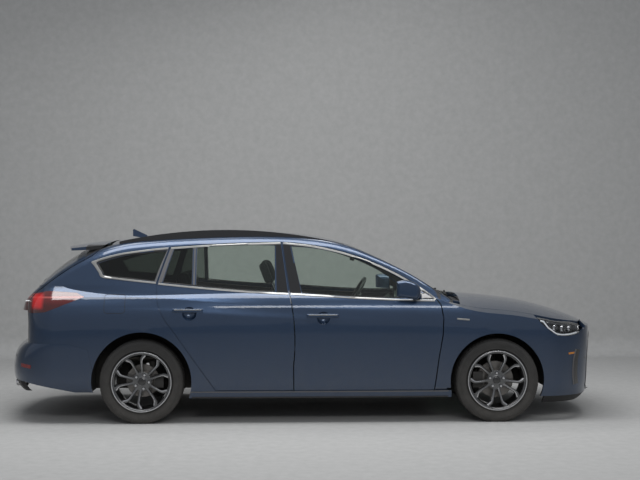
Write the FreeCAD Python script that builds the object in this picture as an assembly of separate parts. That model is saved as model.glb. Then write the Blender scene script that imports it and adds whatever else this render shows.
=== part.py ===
"""Five-door station wagon, built as separate panels, glass, running gear and cabin pieces.

Frame: +X forward, +Y to the car's left, +Z up; the origin is on the ground under the middle of the car.
All lengths are in millimetres. The outer skin is two lofts: LOWER, a stack of plan outlines from the sill
to the shoulder, and UPPER, a row of cross-sections from the windscreen base to the tail. The wall panels
are cut out of the space between that skin and smaller copies of it, along the real shut lines.
"""

import FreeCAD
import Part
import math
import os

V = FreeCAD.Vector
X_AXIS, Y_AXIS, Z_AXIS = V(1, 0, 0), V(0, 1, 0), V(0, 0, 1)
os.makedirs("parts", exist_ok=True)

# ---------------------------------------------------------------- driving sizes
LENGTH = 4668.0
WIDTH = 1825.0                  # over the doors, without the mirrors
WHEELBASE = 2700.0
FRONT_OVERHANG = 872.0
TRACK = 1560.0                  # between the middles of the tyres
TYRE_DIAMETER = 637.0
TYRE_WIDTH = 205.0
RIM_DIAMETER = 457.0
SHUT_GAP = 5.5                  # between a moving panel and its neighbours
SEAT_GAP = 0.3                  # between fixed pieces that seat on each other
FLANGE = 8.0                    # a door's outer flange, over the pillar's lip
DOOR_THICKNESS = 118.0          # lower door, skin to trim
PILLAR_THICKNESS = 46.0         # window frames, pillars and cant rail
LID_THICKNESS = 34.0            # bonnet and roof
WING_THICKNESS = 30.0
GLASS_INSET, GLASS_THICKNESS = 4.0, 5.0
FRONT_ARCH, REAR_ARCH = 360.0, 377.0     # wheel arch radii
LINER_RADIUS, LINER_WALL = 382.0, 5.0

NOSE_X = LENGTH / 2
TAIL_X = -LENGTH / 2
FRONT_AXLE_X = NOSE_X - FRONT_OVERHANG
REAR_AXLE_X = FRONT_AXLE_X - WHEELBASE
AXLE_Z = TYRE_DIAMETER / 2 - 3.5         # the tyre stands on a flat this much inside its round
HALF_WIDTH = WIDTH / 2
WHEEL_Y = TRACK / 2


# ---------------------------------------------------------------- small helpers
def export(name, solids):
    """Writes one node; several solids that don't touch become one compound."""
    shape = solids[0] if len(solids) == 1 else Part.makeCompound(solids)
    shape.exportStep("parts/" + name + ".step")
    litres = shape.Volume / 1e6
    print(f"{name:20s} solids {len(shape.Solids):2d}  valid {shape.isValid()}  litres {litres:9.3f}")


def biggest(shape, count=1):
    """The largest solids of a boolean result, so that a sliver isn't kept."""
    solids = sorted(shape.Solids, key=lambda s: -s.Volume)
    return solids[0] if count == 1 else solids[:count]


def carved(shape, tools):
    """The largest solid left when each tool in turn is taken out of the shape."""
    for tool in tools:
        shape = shape.cut(tool)
    return biggest(shape)


def mirrored(shape):
    """The same piece on the other side of the car."""
    return shape.mirror(V(0, 0, 0), Y_AXIS)


def both_sides(shape):
    return [shape, mirrored(shape)]


def box(x0, x1, y0, y1, z0, z1):
    return Part.makeBox(x1 - x0, y1 - y0, z1 - z0, V(x0, y0, z0))


def rounded_box(x0, x1, y0, y1, z0, z1, radius):
    """A box with all its edges rounded."""
    block = box(x0, x1, y0, y1, z0, z1)
    return block.makeFillet(radius, block.Edges)


def cylinder(start, end, radius):
    return Part.makeCylinder(radius, (end - start).Length, start, end - start)


def cylinder_y(x, z, radius, y0, y1):
    return Part.makeCylinder(radius, y1 - y0, V(x, y0, z), Y_AXIS)


def arc_through(p, q, control):
    """The arc from p to q whose end tangents meet at control (equal tangent lengths)."""
    middle = (p + q) * 0.5
    half_angle_cosine = (p - q).Length / 2 / (control - p).Length
    bulge = half_angle_cosine / (1 + half_angle_cosine)
    return Part.Arc(p, middle + (control - middle) * bulge, q).toShape()


def biarc(p1, t1, p2, t2, d1):
    """Two arcs from p1 (leaving along t1) to p2 (arriving along t2); d1 is the first tangent's length."""
    t1, t2 = V(t1).normalize(), V(t2).normalize()
    v = p2 - p1
    d2 = (v.dot(v) - 2 * d1 * v.dot(t1)) / (2 * v.dot(t2) - 2 * d1 * (t1.dot(t2) - 1))
    c1, c2 = p1 + t1 * d1, p2 - t2 * d2
    joint = c1 + (c2 - c1) * (d1 / (d1 + d2))
    return [arc_through(p1, joint, c1), arc_through(joint, p2, c2)]


def path_wire(path, place):
    """A closed wire of (a, b) corners; ((a, b), (a, b)) is an arc through the first to the second."""
    edges, here = [], place(*path[0])
    for item in path[1:] + [path[0]]:
        if isinstance(item[0], tuple):
            middle, end = place(*item[0]), place(*item[1])
            edges.append(Part.Arc(here, middle, end).toShape())
        else:
            end = place(*item)
            if (end - here).Length < 1e-6:
                continue
            edges.append(Part.LineSegment(here, end).toShape())
        here = end
    return Part.Wire(edges)


def side_prism(path, y0, y1, grow=0.0):
    """A side-view outline (x, z) made into a prism from y0 to y1; grow moves the outline outwards."""
    wire = path_wire(path, lambda x, z: V(x, y0, z))
    if grow:
        wire = wire.makeOffset2D(grow, 2)
    return Part.Face(wire).extrude(V(0, y1 - y0, 0))


def plan_prism(path, z0, z1, grow=0.0):
    """A plan-view outline (x, y) made into a prism from z0 to z1."""
    wire = path_wire(path, lambda x, y: V(x, y, z0))
    if grow:
        wire = wire.makeOffset2D(grow, 2)
    return Part.Face(wire).extrude(V(0, 0, z1 - z0))


def rear_prism(path, x0, x1, grow=0.0):
    """A rear-view outline (y, z) made into a prism from x0 to x1."""
    wire = path_wire(path, lambda y, z: V(x0, y, z))
    if grow:
        wire = wire.makeOffset2D(grow, 2)
    return Part.Face(wire).extrude(V(x1 - x0, 0, 0))


# ---------------------------------------------------------------- the outer skin
# columns: height, half width amidships, half width lost at the side's ends, nose x, tail x
LOWER_LEVELS = [
    (190.0, HALF_WIDTH - 47.5, 30.0, NOSE_X - 26, -2160.0),
    (300.0, HALF_WIDTH - 19.5, 30.0, NOSE_X - 18, -2196.0),
    (480.0, HALF_WIDTH - 6.5, 30.0, NOSE_X - 16, -2204.0),
    (640.0, HALF_WIDTH, 32.0, NOSE_X - 4, -2200.0),
    (740.0, HALF_WIDTH, 34.0, NOSE_X - 14, -2200.0),
    (800.0, HALF_WIDTH - 1.5, 36.0, NOSE_X - 40, -2204.0),
    (885.0, HALF_WIDTH - 10.5, 44.0, NOSE_X - 110, -2212.0),
    (975.0, HALF_WIDTH - 66.5, 52.0, NOSE_X - 190, -2172.0),
    (1040.0, HALF_WIDTH - 120.5, 60.0, NOSE_X - 260, -2110.0),
]
SIDE_FRONT_X, SIDE_REAR_X = 1830.0, -1900.0


def plan_outline(z, half_width, lost, nose, tail, inset=0.0, nose_inset=None, tail_inset=None):
    """One level of the lower body: bowed sides, round corners and ends; inset gives the wall's inside."""
    nose -= inset if nose_inset is None else nose_inset
    tail += inset if tail_inset is None else tail_inset
    w, we = half_width - inset, half_width - lost - inset
    side = Part.Arc(V(SIDE_FRONT_X, we, z), V(0, w, z), V(SIDE_REAR_X, we, z))
    slope = 2 * lost / SIDE_FRONT_X
    front = biarc(V(nose, 0, z), V(0, 1, 0), V(SIDE_FRONT_X, we, z), V(-1, slope, 0),
                  (nose - SIDE_FRONT_X) * 0.6)
    rear = biarc(V(SIDE_REAR_X, we, z), V(-1, -slope, 0), V(tail, 0, z), V(0, -1, 0),
                 (SIDE_REAR_X - tail) * 0.6)
    half = front + [side.toShape()] + rear
    other = [e.mirror(V(0, 0, 0), Y_AXIS) for e in reversed(half)]
    return Part.Wire(Part.__sortEdges__(half + other))


def lower_solid(inset=0.0, levels=LOWER_LEVELS, **ends):
    return Part.makeLoft([plan_outline(*level, inset, **ends) for level in levels], True, False)


# columns: station x, half width at the base, where the side glass plane ends (y, z), roof height, corner size
UPPER_BASE_Z = 850.0
UPPER_STATIONS = [
    (1230.0, 800.0, 790.0, 872.0, 905.0, 14.0),
    (1066.0, 845.0, 778.0, 945.0, 988.0, 20.0),
    (826.0, 868.0, 752.0, 1092.0, 1130.0, 26.0),
    (506.0, 884.0, 704.0, 1236.0, 1294.0, 40.0),
    (300.0, 890.0, 686.0, 1300.0, 1374.0, 56.0),
    (0.0, 894.0, 676.0, 1342.0, 1436.0, 66.0),
    (-500.0, 895.0, 670.0, 1352.0, 1452.0, 70.0),
    (-1100.0, 888.0, 676.0, 1326.0, 1430.0, 70.0),
    (-1510.0, 866.0, 690.0, 1266.0, 1386.0, 70.0),
    (-1870.0, 826.0, 706.0, 1090.0, 1258.0, 60.0),
    (-2100.0, 735.0, 690.0, 934.0, 1056.0, 40.0),
    (-2180.0, 600.0, 570.0, 880.0, 960.0, 30.0),
]


def cross_section(x, base_y, side_y, side_z, roof_z, corner, inset=0.0):
    """One station of the upper body: flat base, side glass plane, cant rail arc and crowned roof."""
    slant = V(0, side_y - base_y, side_z - UPPER_BASE_Z).normalize()
    base = V(x, base_y - inset, UPPER_BASE_Z)
    side = V(x, side_y - inset, side_z - inset * 0.45)
    top = V(x, 0, roof_z - inset)
    half = [Part.LineSegment(base, side).toShape()] + biarc(side, slant, top, V(0, -1, 0), corner)
    other = [e.mirror(V(0, 0, 0), Y_AXIS) for e in reversed(half)]
    floor = Part.LineSegment(V(x, -base.y, UPPER_BASE_Z), base).toShape()
    return Part.Wire(Part.__sortEdges__([floor] + half + other))


def upper_solid(inset=0.0, stations=UPPER_STATIONS):
    return Part.makeLoft([cross_section(*s, inset) for s in stations], True, False)


# columns: station x, height on the centre line, height at the bonnet's side edge
BONNET_EDGE_Y = 800.0
BONNET_STATIONS = [
    (760.0, 1056.0, 1050.0),
    (830.0, 1028.0, 1020.0),
    (900.0, 996.0, 986.0),
    (1060.0, 962.0, 925.0),
    (1279.0, 950.0, 868.0),
    (1600.0, 922.0, 830.0),
    (1800.0, 890.0, 794.0),
    (1942.0, 856.0, 762.0),
    (2100.0, 808.0, 722.0),
    (2240.0, 752.0, 672.0),
    (2360.0, 686.0, 612.0),
]


def above_bonnet(drop=0.0):
    """The space above the bonnet's crowned surface, with the surface moved down by drop."""
    reach, top = 960.0, 1500.0
    wires = []
    for x, centre, edge in BONNET_STATIONS:
        fall = (centre - edge) * (reach / BONNET_EDGE_Y) ** 2
        ends = [V(x, -reach, centre - fall - drop), V(x, reach, centre - fall - drop)]
        crown = Part.Arc(ends[0], V(x, 0, centre - drop), ends[1]).toShape()
        corners = [V(x, reach, top), V(x, -reach, top)]
        lines = [Part.LineSegment(a, b).toShape()
                 for a, b in ((ends[1], corners[0]), (corners[0], corners[1]), (corners[1], ends[0]))]
        wires.append(Part.Wire([crown] + lines))
    return Part.makeLoft(wires, True, False)


def skin(inset):
    """The whole body's outside, moved inwards; the front is closed by the bonnet surface."""
    return lower_solid(inset).cut(above_bonnet(inset)).fuse(upper_solid(inset))


# ---------------------------------------------------------------- shut lines, side view (x, z)
B_LINE = [(-180, 1371), (-122, 983), ((-84, 730), (-90, 440)), (-88, 250)]
REAR_B_LINE = [(-182, 1371), (-124, 983), ((-86, 730), (-92, 440)), (-90, 250)]
FRONT_DOOR = B_LINE + [(979, 248), (1012, 494), (1042, 668), (1047, 790), (1030, 889), (1001, 930),
                       (843, 1052), ((395, 1265), (-180, 1371))]
REAR_DOOR = REAR_B_LINE + [(-680, 250), (-1027, 739), ((-1100, 860), (-1130, 1000)), (-1128, 1063),
                      (-1042, 1332), ((-620, 1359), (-182, 1371))]
# the thick inner part of each door, inside the outline of its flange
FRONT_DOOR_CORE = [(-136, 1344), (-80, 985), (0, 925), (0, 276), (948, 266), (986, 494), (1016, 668),
                   (1018, 790), (1003, 880), (975, 905), (822, 1026), ((385, 1237), (-136, 1344))]
REAR_DOOR_CORE = [(-206, 1344), (-148, 983), (-112, 800), (-112, 276), (-662, 276), (-1003, 770),
                  (-1098, 990), (-1100, 1058), (-1022, 1306), ((-620, 1334), (-206, 1344))]
FRONT_WINDOW = [(-26, 984), (-108, 1336), ((395, 1246), (790, 1056)), (800, 944), ((390, 952), (-26, 984))]
REAR_WINDOW = [(-231, 994), (-231, 1343), ((-540, 1346), (-833, 1326)), (-833, 1034),
               ((-520, 1009), (-231, 994))]
REAR_FIXED_WINDOW = [(-863, 1040), (-863, 1325), (-1010, 1312), (-1086, 1062)]
QUARTER_WINDOW = [(-1148, 1071), (-1063, 1302), ((-1340, 1275), (-1590, 1206)), (-1528, 1108)]
TAILGATE = [(-1512, 1500), (-1512, 1388), (-1640, 1270), (-1804, 1178), (-1926, 1093), (-2011, 1025),
            (-2065, 985), (-2112, 930), (-2116, 612), (-2600, 612), (-2600, 1500)]
TAIL_LAMP = [(-2064, 980), (-1951, 1000), (-1735, 987), (-1675, 956), (-1963, 843), (-2113, 830),
             (-2113, 985)]
HEADLAMP = [(1762, 797), (1766, 1000), (2330, 1000), (2180, 700), (2108, 660), (2012, 648),
            (1929, 655), (1869, 690), (1798, 749)]
WING = [(977, 150), (979, 238), (1012, 494), (1042, 668), (1047, 790), (1030, 889), (1001, 930),
        (1010, 1100), (1764, 1100), (1762, 797), (1798, 749), (1869, 690), (1889, 647), (1776, 588),
        (1760, 150)]
FRONT_BUMPER = [(1760, 150), (1776, 588), (1889, 647), (1869, 690), (1929, 655), (2012, 648), (2108, 660),
                (2180, 700), (2330, 1000), (2500, 1000), (2500, 150)]
REAR_BUMPER_FOOT = [(-1560, 196), (-1629, 211), (-1774, 242), (-1954, 279), (-2134, 312), (-2500, 352)]
REAR_BUMPER = [(-1640, 560), (-1790, 606), (-2500, 606)] + REAR_BUMPER_FOOT[::-1]
SIDE_SKIRT = [(-872, 150), (-872, 244), (1112, 244), (1112, 150)]
BELT_CUT = [(1300, 905), (1010, 900), (-200, 955), (-1135, 1035), (-2300, 1060), (-2300, 1700), (1300, 1700)]

# ---------------------------------------------------------------- hinges
HINGE_HEIGHTS = (560.0, 790.0)
FRONT_HINGE = (985.0, 885.5)             # x, |y| of the door's axis
REAR_HINGE = (-126.0, 897.5)
TAILGATE_HINGE = (-1542.0, 1357.0)       # x, z of the axis
BONNET_HINGE = (1165.0, 866.0)
PIN_RADIUS, KNUCKLE_RADIUS, PIN_CLEARANCE = 3.5, 6.5, 0.3
KNUCKLE_HALF, POCKET_HALF = 18.0, 24.0
ARM_DEPTH, ARM_HALF = 52.0, 5.0          # the gooseneck runs forward this far inboard of the pin


def door_pocket(x, y, z, front):
    """The hollow in a left door's front edge that the hinge arm sits in."""
    return box(x - 12, front, y - ARM_DEPTH - 14, y + 8, z - POCKET_HALF, z + POCKET_HALF)


def door_pin(x, y, z):
    return Part.makeCylinder(PIN_RADIUS, 2 * POCKET_HALF + 8, V(x, y, z - POCKET_HALF - 4), Z_AXIS)


def hinge_arm(x, y, z, reach):
    """A left door's fixed hinge leaf: knuckle, gooseneck inboard, then forward into the pillar."""
    z0, z1 = z - KNUCKLE_HALF, z + KNUCKLE_HALF
    knuckle = Part.makeCylinder(KNUCKLE_RADIUS, z1 - z0, V(x, y, z0), Z_AXIS)
    neck = box(x - ARM_HALF, x + ARM_HALF, y - ARM_DEPTH - ARM_HALF, y, z0, z1)
    arm = box(x, x + reach, y - ARM_DEPTH - ARM_HALF, y - ARM_DEPTH + ARM_HALF, z0, z1)
    bore = Part.makeCylinder(PIN_RADIUS + PIN_CLEARANCE, z1 - z0 + 2, V(x, y, z0 - 1), Z_AXIS)
    return knuckle.fuse([neck, arm]).removeSplitter().cut(bore)


# ---------------------------------------------------------------- the shells that panels are cut from
COWL_X = 1070.0                          # the cabin's hollow reaches up to the windscreen behind this
OUTER = skin(0.0)
UNDER_FLANGE = skin(FLANGE)
UNDER_GAP = skin(FLANGE + SHUT_GAP)
CABIN = lower_solid(DOOR_THICKNESS, tail_inset=70.0).cut(
    above_bonnet(DOOR_THICKNESS).common(box(COWL_X, 2600, -1000, 1000, 0, 1500))).fuse(
    upper_solid(PILLAR_THICKNESS).common(side_prism(BELT_CUT, -900, 900)))
GLASS_OUT = upper_solid(GLASS_INSET)
GLASS_IN = upper_solid(GLASS_INSET + GLASS_THICKNESS)
LEFT = box(-2600, 2600, 0, 1100, 0, 1700)


def wall(path, inner, grow=0.0):
    """The left half of the body's wall inside a side-view outline."""
    return OUTER.common(side_prism(path, 300, 1000, grow)).cut(inner)


def pane(path, grow=-SEAT_GAP):
    """A left side window."""
    return biggest(GLASS_OUT.common(side_prism(path, 300, 1000, grow)).cut(GLASS_IN))


def arch_cut(axle_x, radius, y0=740.0, y1=1000.0):
    return cylinder_y(axle_x, AXLE_Z, radius, y0, y1)


# ---------------------------------------------------------------- doors
def door(path, core, windows, hinge, front_x):
    """A left door: thick core, thin flange round it, windows cut, hinge pockets with their pins."""
    block = wall(path, CABIN, -SHUT_GAP / 2)
    ring = UNDER_FLANGE.common(side_prism(path, 300, 1000)).cut(side_prism(core, 299, 1001))
    panel = block.cut(ring)
    for window in windows:
        panel = panel.cut(side_prism(window, 300, 1000))
    panel = panel.cut([door_pocket(*hinge, z, front_x) for z in HINGE_HEIGHTS])
    return biggest(panel.fuse([door_pin(*hinge, z) for z in HINGE_HEIGHTS]))


CORE_GAP = 13.0                          # lets a door's thick inner edge swing out of its opening
WING_GAP = 5.25                          # the wing's share of its gap to the front door, whose edge swings in


def door_opening(path, core, hinge):
    """What a left door's opening takes out of the body side and the wing."""
    relief = (side_prism(path, 300, 1000, 9.0).common(box(hinge[0] - 15, 1200, 300, 1000, 235, 1000))
              .common(UNDER_FLANGE))
    seat = side_prism(path, 300, 1000, SHUT_GAP / 2).cut(UNDER_GAP)
    return [side_prism(core, 300, 1000, CORE_GAP), seat, relief]


def handle(x0, x1, z, y):
    """A pull handle standing off the door."""
    bar = rounded_box(x0, x1, y + 4, y + 20, z - 15, z + 13, 6)
    foot_1 = box(x0 + 12, x0 + 40, y - 14, y + 12, z - 9, z + 9)
    foot_2 = box(x1 - 40, x1 - 12, y - 14, y + 12, z - 9, z + 9)
    return bar.fuse([foot_1, foot_2])


def handle_cup(x, z, y):
    return Part.makeSphere(62, V(x, y + 40, z - 8))


front_door = door(FRONT_DOOR, FRONT_DOOR_CORE, [FRONT_WINDOW], FRONT_HINGE, 1060)
rear_door = door(REAR_DOOR, REAR_DOOR_CORE, [REAR_WINDOW, REAR_FIXED_WINDOW], REAR_HINGE, -70)
# its inner rear corner is set back, to pass the pillar as the door swings
rear_door = biggest(rear_door.cut(box(-1140, -1080, 640, 722, 955, 1050)))
front_door = biggest(front_door.cut(handle_cup(135, 806, 909)).fuse(handle(8, 250, 816, 905)))
rear_door = biggest(rear_door.cut(handle_cup(-876, 842, 893)).fuse(handle(-1004, -772, 856, 886)))
export("door_front_left", [front_door])
export("door_front_right", [mirrored(front_door)])
export("door_rear_left", [rear_door])
export("door_rear_right", [mirrored(rear_door)])
front_pane = pane(FRONT_WINDOW)
rear_panes = [pane(REAR_WINDOW), pane(REAR_FIXED_WINDOW)]
export("glass_front_left", [front_pane])
export("glass_front_right", [mirrored(front_pane)])
export("glass_rear_left", rear_panes)
export("glass_rear_right", [mirrored(p) for p in rear_panes])

# ---------------------------------------------------------------- fixed body
FRONT_OPENING = door_opening(FRONT_DOOR, FRONT_DOOR_CORE, FRONT_HINGE)
REAR_OPENING = door_opening(REAR_DOOR, REAR_DOOR_CORE, REAR_HINGE)
WINDSCREEN = [(1138, -700), ((1168, 0), (1138, 700)), (330, 560), ((372, 0), (330, -560))]
ROOF_EDGE_Y = 560.0
ROOF = [(325, -ROOF_EDGE_Y), ((367, 0), (325, ROOF_EDGE_Y)), (-1506.5, ROOF_EDGE_Y), (-1506.5, -ROOF_EDGE_Y)]
BONNET_INSET, BONNET_NOSE_INSET = 112.0, 60.0    # from the body's outline at bumper height
BONNET_EDGE = 9.0                        # how far the bonnet's frame stands back from its skin's edge
TAILGATE_HINGE_Y, BONNET_HINGE_Y = 430.0, 640.0
TAILGATE_SWEEP = 49.0                    # what the tailgate's front edge needs round its axis
WING_INNER = lower_solid(WING_THICKNESS).cut(above_bonnet(WING_THICKNESS))
WING_SEAT = lower_solid(WING_THICKNESS + SEAT_GAP).cut(above_bonnet(WING_THICKNESS + SEAT_GAP))
CABIN_SEAT = lower_solid(DOOR_THICKNESS + SEAT_GAP, tail_inset=70.0 + SEAT_GAP)
FRONT_END = lower_solid().cut(above_bonnet())


def bonnet_zone(grow):
    """The bonnet's plan outline as a tall prism."""
    wire = plan_outline(500.0, HALF_WIDTH, 34.0, NOSE_X, TAIL_X,
                        BONNET_INSET - grow, BONNET_NOSE_INSET - grow)
    prism = Part.Face(wire).extrude(V(0, 0, 700))
    rear = [(1180 - grow, -1000), (1180 - grow, -800), ((1240 - grow, 0), (1180 - grow, 800)),
            (1180 - grow, 1000), (2500, 1000), (2500, -1000)]
    return prism.common(plan_prism(rear, 500, 1200))


BONNET_OPENING = bonnet_zone(0.0)


def liner_space(axle_x, inner_y, extra=0.0):
    return cylinder_y(axle_x, AXLE_Z, LINER_RADIUS + LINER_WALL + extra, inner_y, 1000)


# room behind the front door's upper corner as the door swings
FRONT_DOOR_SWING = box(915, 975, 780, 872, 938, 966)


def body_side():
    """The left side frame: sill, pillars, cant rail and rear quarter in one piece."""
    region = [(1110, 150), (1110, 900), (1150, 1600), (-2600, 1600), (-2600, 606 + SEAT_GAP),
              (-1790, 606 + SEAT_GAP), (-1640 + SEAT_GAP, 560 + SEAT_GAP), (-1549.2, 150)]
    frame = wall(region, CABIN)
    cuts = FRONT_OPENING + REAR_OPENING
    cuts += [side_prism(WING, 300, 1000, SEAT_GAP).cut(WING_SEAT).cut(upper_solid()),
             side_prism(TAILGATE, -10, 1000, SHUT_GAP),
             side_prism(QUARTER_WINDOW, 300, 1000),
             plan_prism(WINDSCREEN, 850, 1600, SEAT_GAP),
             plan_prism(ROOF, 1100, 1600, SEAT_GAP),
             box(1000, 1300, 0, 700, 150, 905),
             FRONT_DOOR_SWING,
             side_prism(SIDE_SKIRT, 300, 1000, SEAT_GAP).cut(lower_solid(24 + SEAT_GAP)),
             side_prism(TAIL_LAMP, 300, 1000, SEAT_GAP).cut(lower_solid(60 + SEAT_GAP)),
             arch_cut(REAR_AXLE_X, REAR_ARCH),
             cylinder_y(*TAILGATE_HINGE, TAILGATE_SWEEP, -10, 575),
             WING_SEAT.common(liner_space(REAR_AXLE_X, 300, SEAT_GAP)),
             box(1000, 1300, 300, 1000, 150, 1000).common(liner_space(FRONT_AXLE_X, 300, SEAT_GAP))]
    frame = carved(frame, cuts)
    arms = [hinge_arm(*hinge, z, 85 if z > 700 else reach)
            for hinge, reach in ((FRONT_HINGE, 61), (REAR_HINGE, 74)) for z in HINGE_HEIGHTS]
    return biggest(frame.fuse(arms))


side = body_side()
export("body_side_left", [side])
export("body_side_right", [mirrored(side)])

# roof panel with its fin, and the tailgate's hinge arms under the rear edge
roof_lower = upper_solid(LID_THICKNESS)
roof = OUTER.common(plan_prism(ROOF, 1100, 1600)).cut(roof_lower)
roof = biggest(roof.cut(upper_solid(FLANGE).common(box(-1520, -1494, -600, 600, 1200, 1500))))
FIN = [(-1408, 1420), (-1408, 1462), ((-1400, 1478), (-1388, 1474)), (-1290, 1428), (-1290, 1400)]
roof = roof.fuse(side_prism(FIN, -4, 4))


def tailgate_arm(y):
    """A hinge arm from the roof's rear cross-member into the tailgate, as the doors' but lying down."""
    x, z = TAILGATE_HINGE
    y0, y1 = y - KNUCKLE_HALF, y + KNUCKLE_HALF
    knuckle = cylinder_y(x, z, KNUCKLE_RADIUS, y0, y1)
    neck = box(x - ARM_HALF, x + ARM_HALF, y0, y1, z - ARM_DEPTH - ARM_HALF, z)
    arm = box(x, x + 80, y0, y1, z - ARM_DEPTH - ARM_HALF, z - ARM_DEPTH + ARM_HALF)
    post = box(x + 62, x + 80, y0, y1, z - ARM_DEPTH - ARM_HALF, z + 6)
    bore = cylinder_y(x, z, PIN_RADIUS + PIN_CLEARANCE, y0 - 1, y1 + 1)
    return knuckle.fuse([neck, arm, post]).removeSplitter().cut(bore)


for y in (-TAILGATE_HINGE_Y, TAILGATE_HINGE_Y):
    roof = roof.fuse(tailgate_arm(y))
export("roof_panel", [biggest(roof)])

# glass fixed to the body
quarter = pane(QUARTER_WINDOW)
windscreen = biggest(upper_solid().common(plan_prism(WINDSCREEN, 850, 1600)).cut(upper_solid(6.0)))
export("body_glass", [windscreen, quarter, mirrored(quarter)])

# front wings, bonnet, bumper, lamps
wing = carved(FRONT_END.common(side_prism(WING, 300, 1000)), [
    WING_INNER, upper_solid(-SEAT_GAP), BONNET_OPENING, arch_cut(FRONT_AXLE_X, FRONT_ARCH),
    side_prism(FRONT_DOOR, 300, 1000, WING_GAP), side_prism(FRONT_DOOR, 300, 1000, 12.0).common(UNDER_FLANGE),
    side_prism(SIDE_SKIRT, 300, 1000, SEAT_GAP), box(900, 1120, 0, 1000, 100, 262),
    box(900, 1260, 0, 692, 100, 1100)])
export("front_wings", both_sides(wing))

bonnet = FRONT_END.common(above_bonnet(FLANGE)).common(bonnet_zone(-SHUT_GAP)).fuse(
    FRONT_END.common(above_bonnet(LID_THICKNESS)).common(bonnet_zone(-SHUT_GAP - BONNET_EDGE)))
x, z = BONNET_HINGE
for y in (-BONNET_HINGE_Y, BONNET_HINGE_Y):
    lug = box(x - 9, x + 60, y - 8, y + 8, z - 9, z + 62).common(above_bonnet(120).common(FRONT_END))
    bonnet = bonnet.fuse(lug.cut(cylinder_y(x, z, PIN_RADIUS + PIN_CLEARANCE, y - 10, y + 10)))
export("bonnet", [biggest(bonnet)])

GRILLE = [(-600, 250), (-600, 440), ((-560, 560), (-440, 640)), (440, 640), ((560, 560), (600, 440)),
          (600, 250), (440, 205), (-440, 205)]
lamp_zone = side_prism(HEADLAMP, 300, 1000)
headlamp = carved(FRONT_END.common(lamp_zone), [lower_solid(60).cut(above_bonnet(60)), BONNET_OPENING])
export("headlamps", both_sides(headlamp))
bumper = carved(FRONT_END.common(side_prism(FRONT_BUMPER, -1000, 1000)), [
    WING_INNER, BONNET_OPENING, arch_cut(FRONT_AXLE_X, FRONT_ARCH),
    arch_cut(FRONT_AXLE_X, FRONT_ARCH, -1000, -740),
    rear_prism(GRILLE, 2000, 2400, SEAT_GAP), side_prism(HEADLAMP, 300, 1000, SEAT_GAP),
    side_prism(HEADLAMP, -1000, -300, SEAT_GAP), side_prism(WING, 300, 1000, SEAT_GAP),
    side_prism(WING, -1000, -300, SEAT_GAP)])
export("front_bumper", [bumper])
# the dark lip under the bumper; columns as LOWER_LEVELS
LIP_LEVELS = [
    (134.0, HALF_WIDTH - 118.0, 30.0, NOSE_X - 130, -2160.0),
    (160.0, HALF_WIDTH - 86.0, 30.0, NOSE_X - 66, -2160.0),
    (190.0 - SEAT_GAP, HALF_WIDTH - 54.0, 30.0, NOSE_X - 40, -2160.0),
]
LIP_REAR_X = 1829.0
lip = lower_solid(0.0, LIP_LEVELS).common(box(LIP_REAR_X, 2400, -1000, 1000, 100, 400)).cut(
    lower_solid(WING_THICKNESS, LIP_LEVELS))
export("front_lip", [biggest(lip)])
GRILLE_INSET, GRILLE_THICKNESS = 14.0, 14.0
GRILLE_BAR, GRILLE_PITCH, GRILLE_POST, GRILLE_FRAME = 9.0, 42.0, 120.0, 12.0


def grille_plan(inset):
    wire = plan_outline(200.0, HALF_WIDTH - 6.5, 30.0, NOSE_X - 16, TAIL_X, inset)
    return Part.Face(wire).extrude(V(0, 0, 460)).common(box(2000, 2400, -700, 700, 190, 660))


def grille_slots():
    """Openings between the grille's bars, in staggered rows."""
    slots = []
    for row in range(10):
        z = 226 + row * GRILLE_PITCH
        shift = GRILLE_POST / 2 * (row % 2)
        y = -540 + shift
        while y + GRILLE_POST < 545:
            slots.append(box(2050, 2400, y + 4, y + GRILLE_POST - 4, z, z + GRILLE_PITCH - GRILLE_BAR))
            y += GRILLE_POST
    return Part.makeCompound(slots).common(rear_prism(GRILLE, 2000, 2400, -GRILLE_FRAME))


grille = grille_plan(GRILLE_INSET).common(rear_prism(GRILLE, 2000, 2400)).cut(
    grille_plan(GRILLE_INSET + GRILLE_THICKNESS))
export("front_grille", [biggest(biggest(grille).cut(grille_slots()))])

# rear bumper with its ledge, tail lamps
# columns as LOWER_LEVELS
BUMPER_LEVELS = [
    (235.0, HALF_WIDTH - 52.5, 30.0, NOSE_X - 26, -2262.0),
    (300.0, HALF_WIDTH - 20.0, 30.0, NOSE_X - 18, -2318.0),
    (385.0, HALF_WIDTH - 9.0, 30.0, NOSE_X - 16, TAIL_X),
    (480.0, HALF_WIDTH - 6.0, 30.0, NOSE_X - 16, -2322.0),
    (548.0, HALF_WIDTH - 2.0, 31.0, NOSE_X - 10, -2290.0),
    (606.0, HALF_WIDTH, 32.0, NOSE_X - 4, -2214.0),
]
rear_liner_space = liner_space(REAR_AXLE_X, 300, SEAT_GAP)
rear_bumper = carved(lower_solid(0.0, BUMPER_LEVELS).common(side_prism(REAR_BUMPER, -1000, 1000)), [
    lower_solid(WING_THICKNESS + 10, BUMPER_LEVELS), arch_cut(REAR_AXLE_X, REAR_ARCH),
    arch_cut(REAR_AXLE_X, REAR_ARCH, -1000, -740), rear_liner_space.common(WING_SEAT),
    mirrored(rear_liner_space).common(WING_SEAT)])
export("rear_bumper", [rear_bumper])
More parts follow.
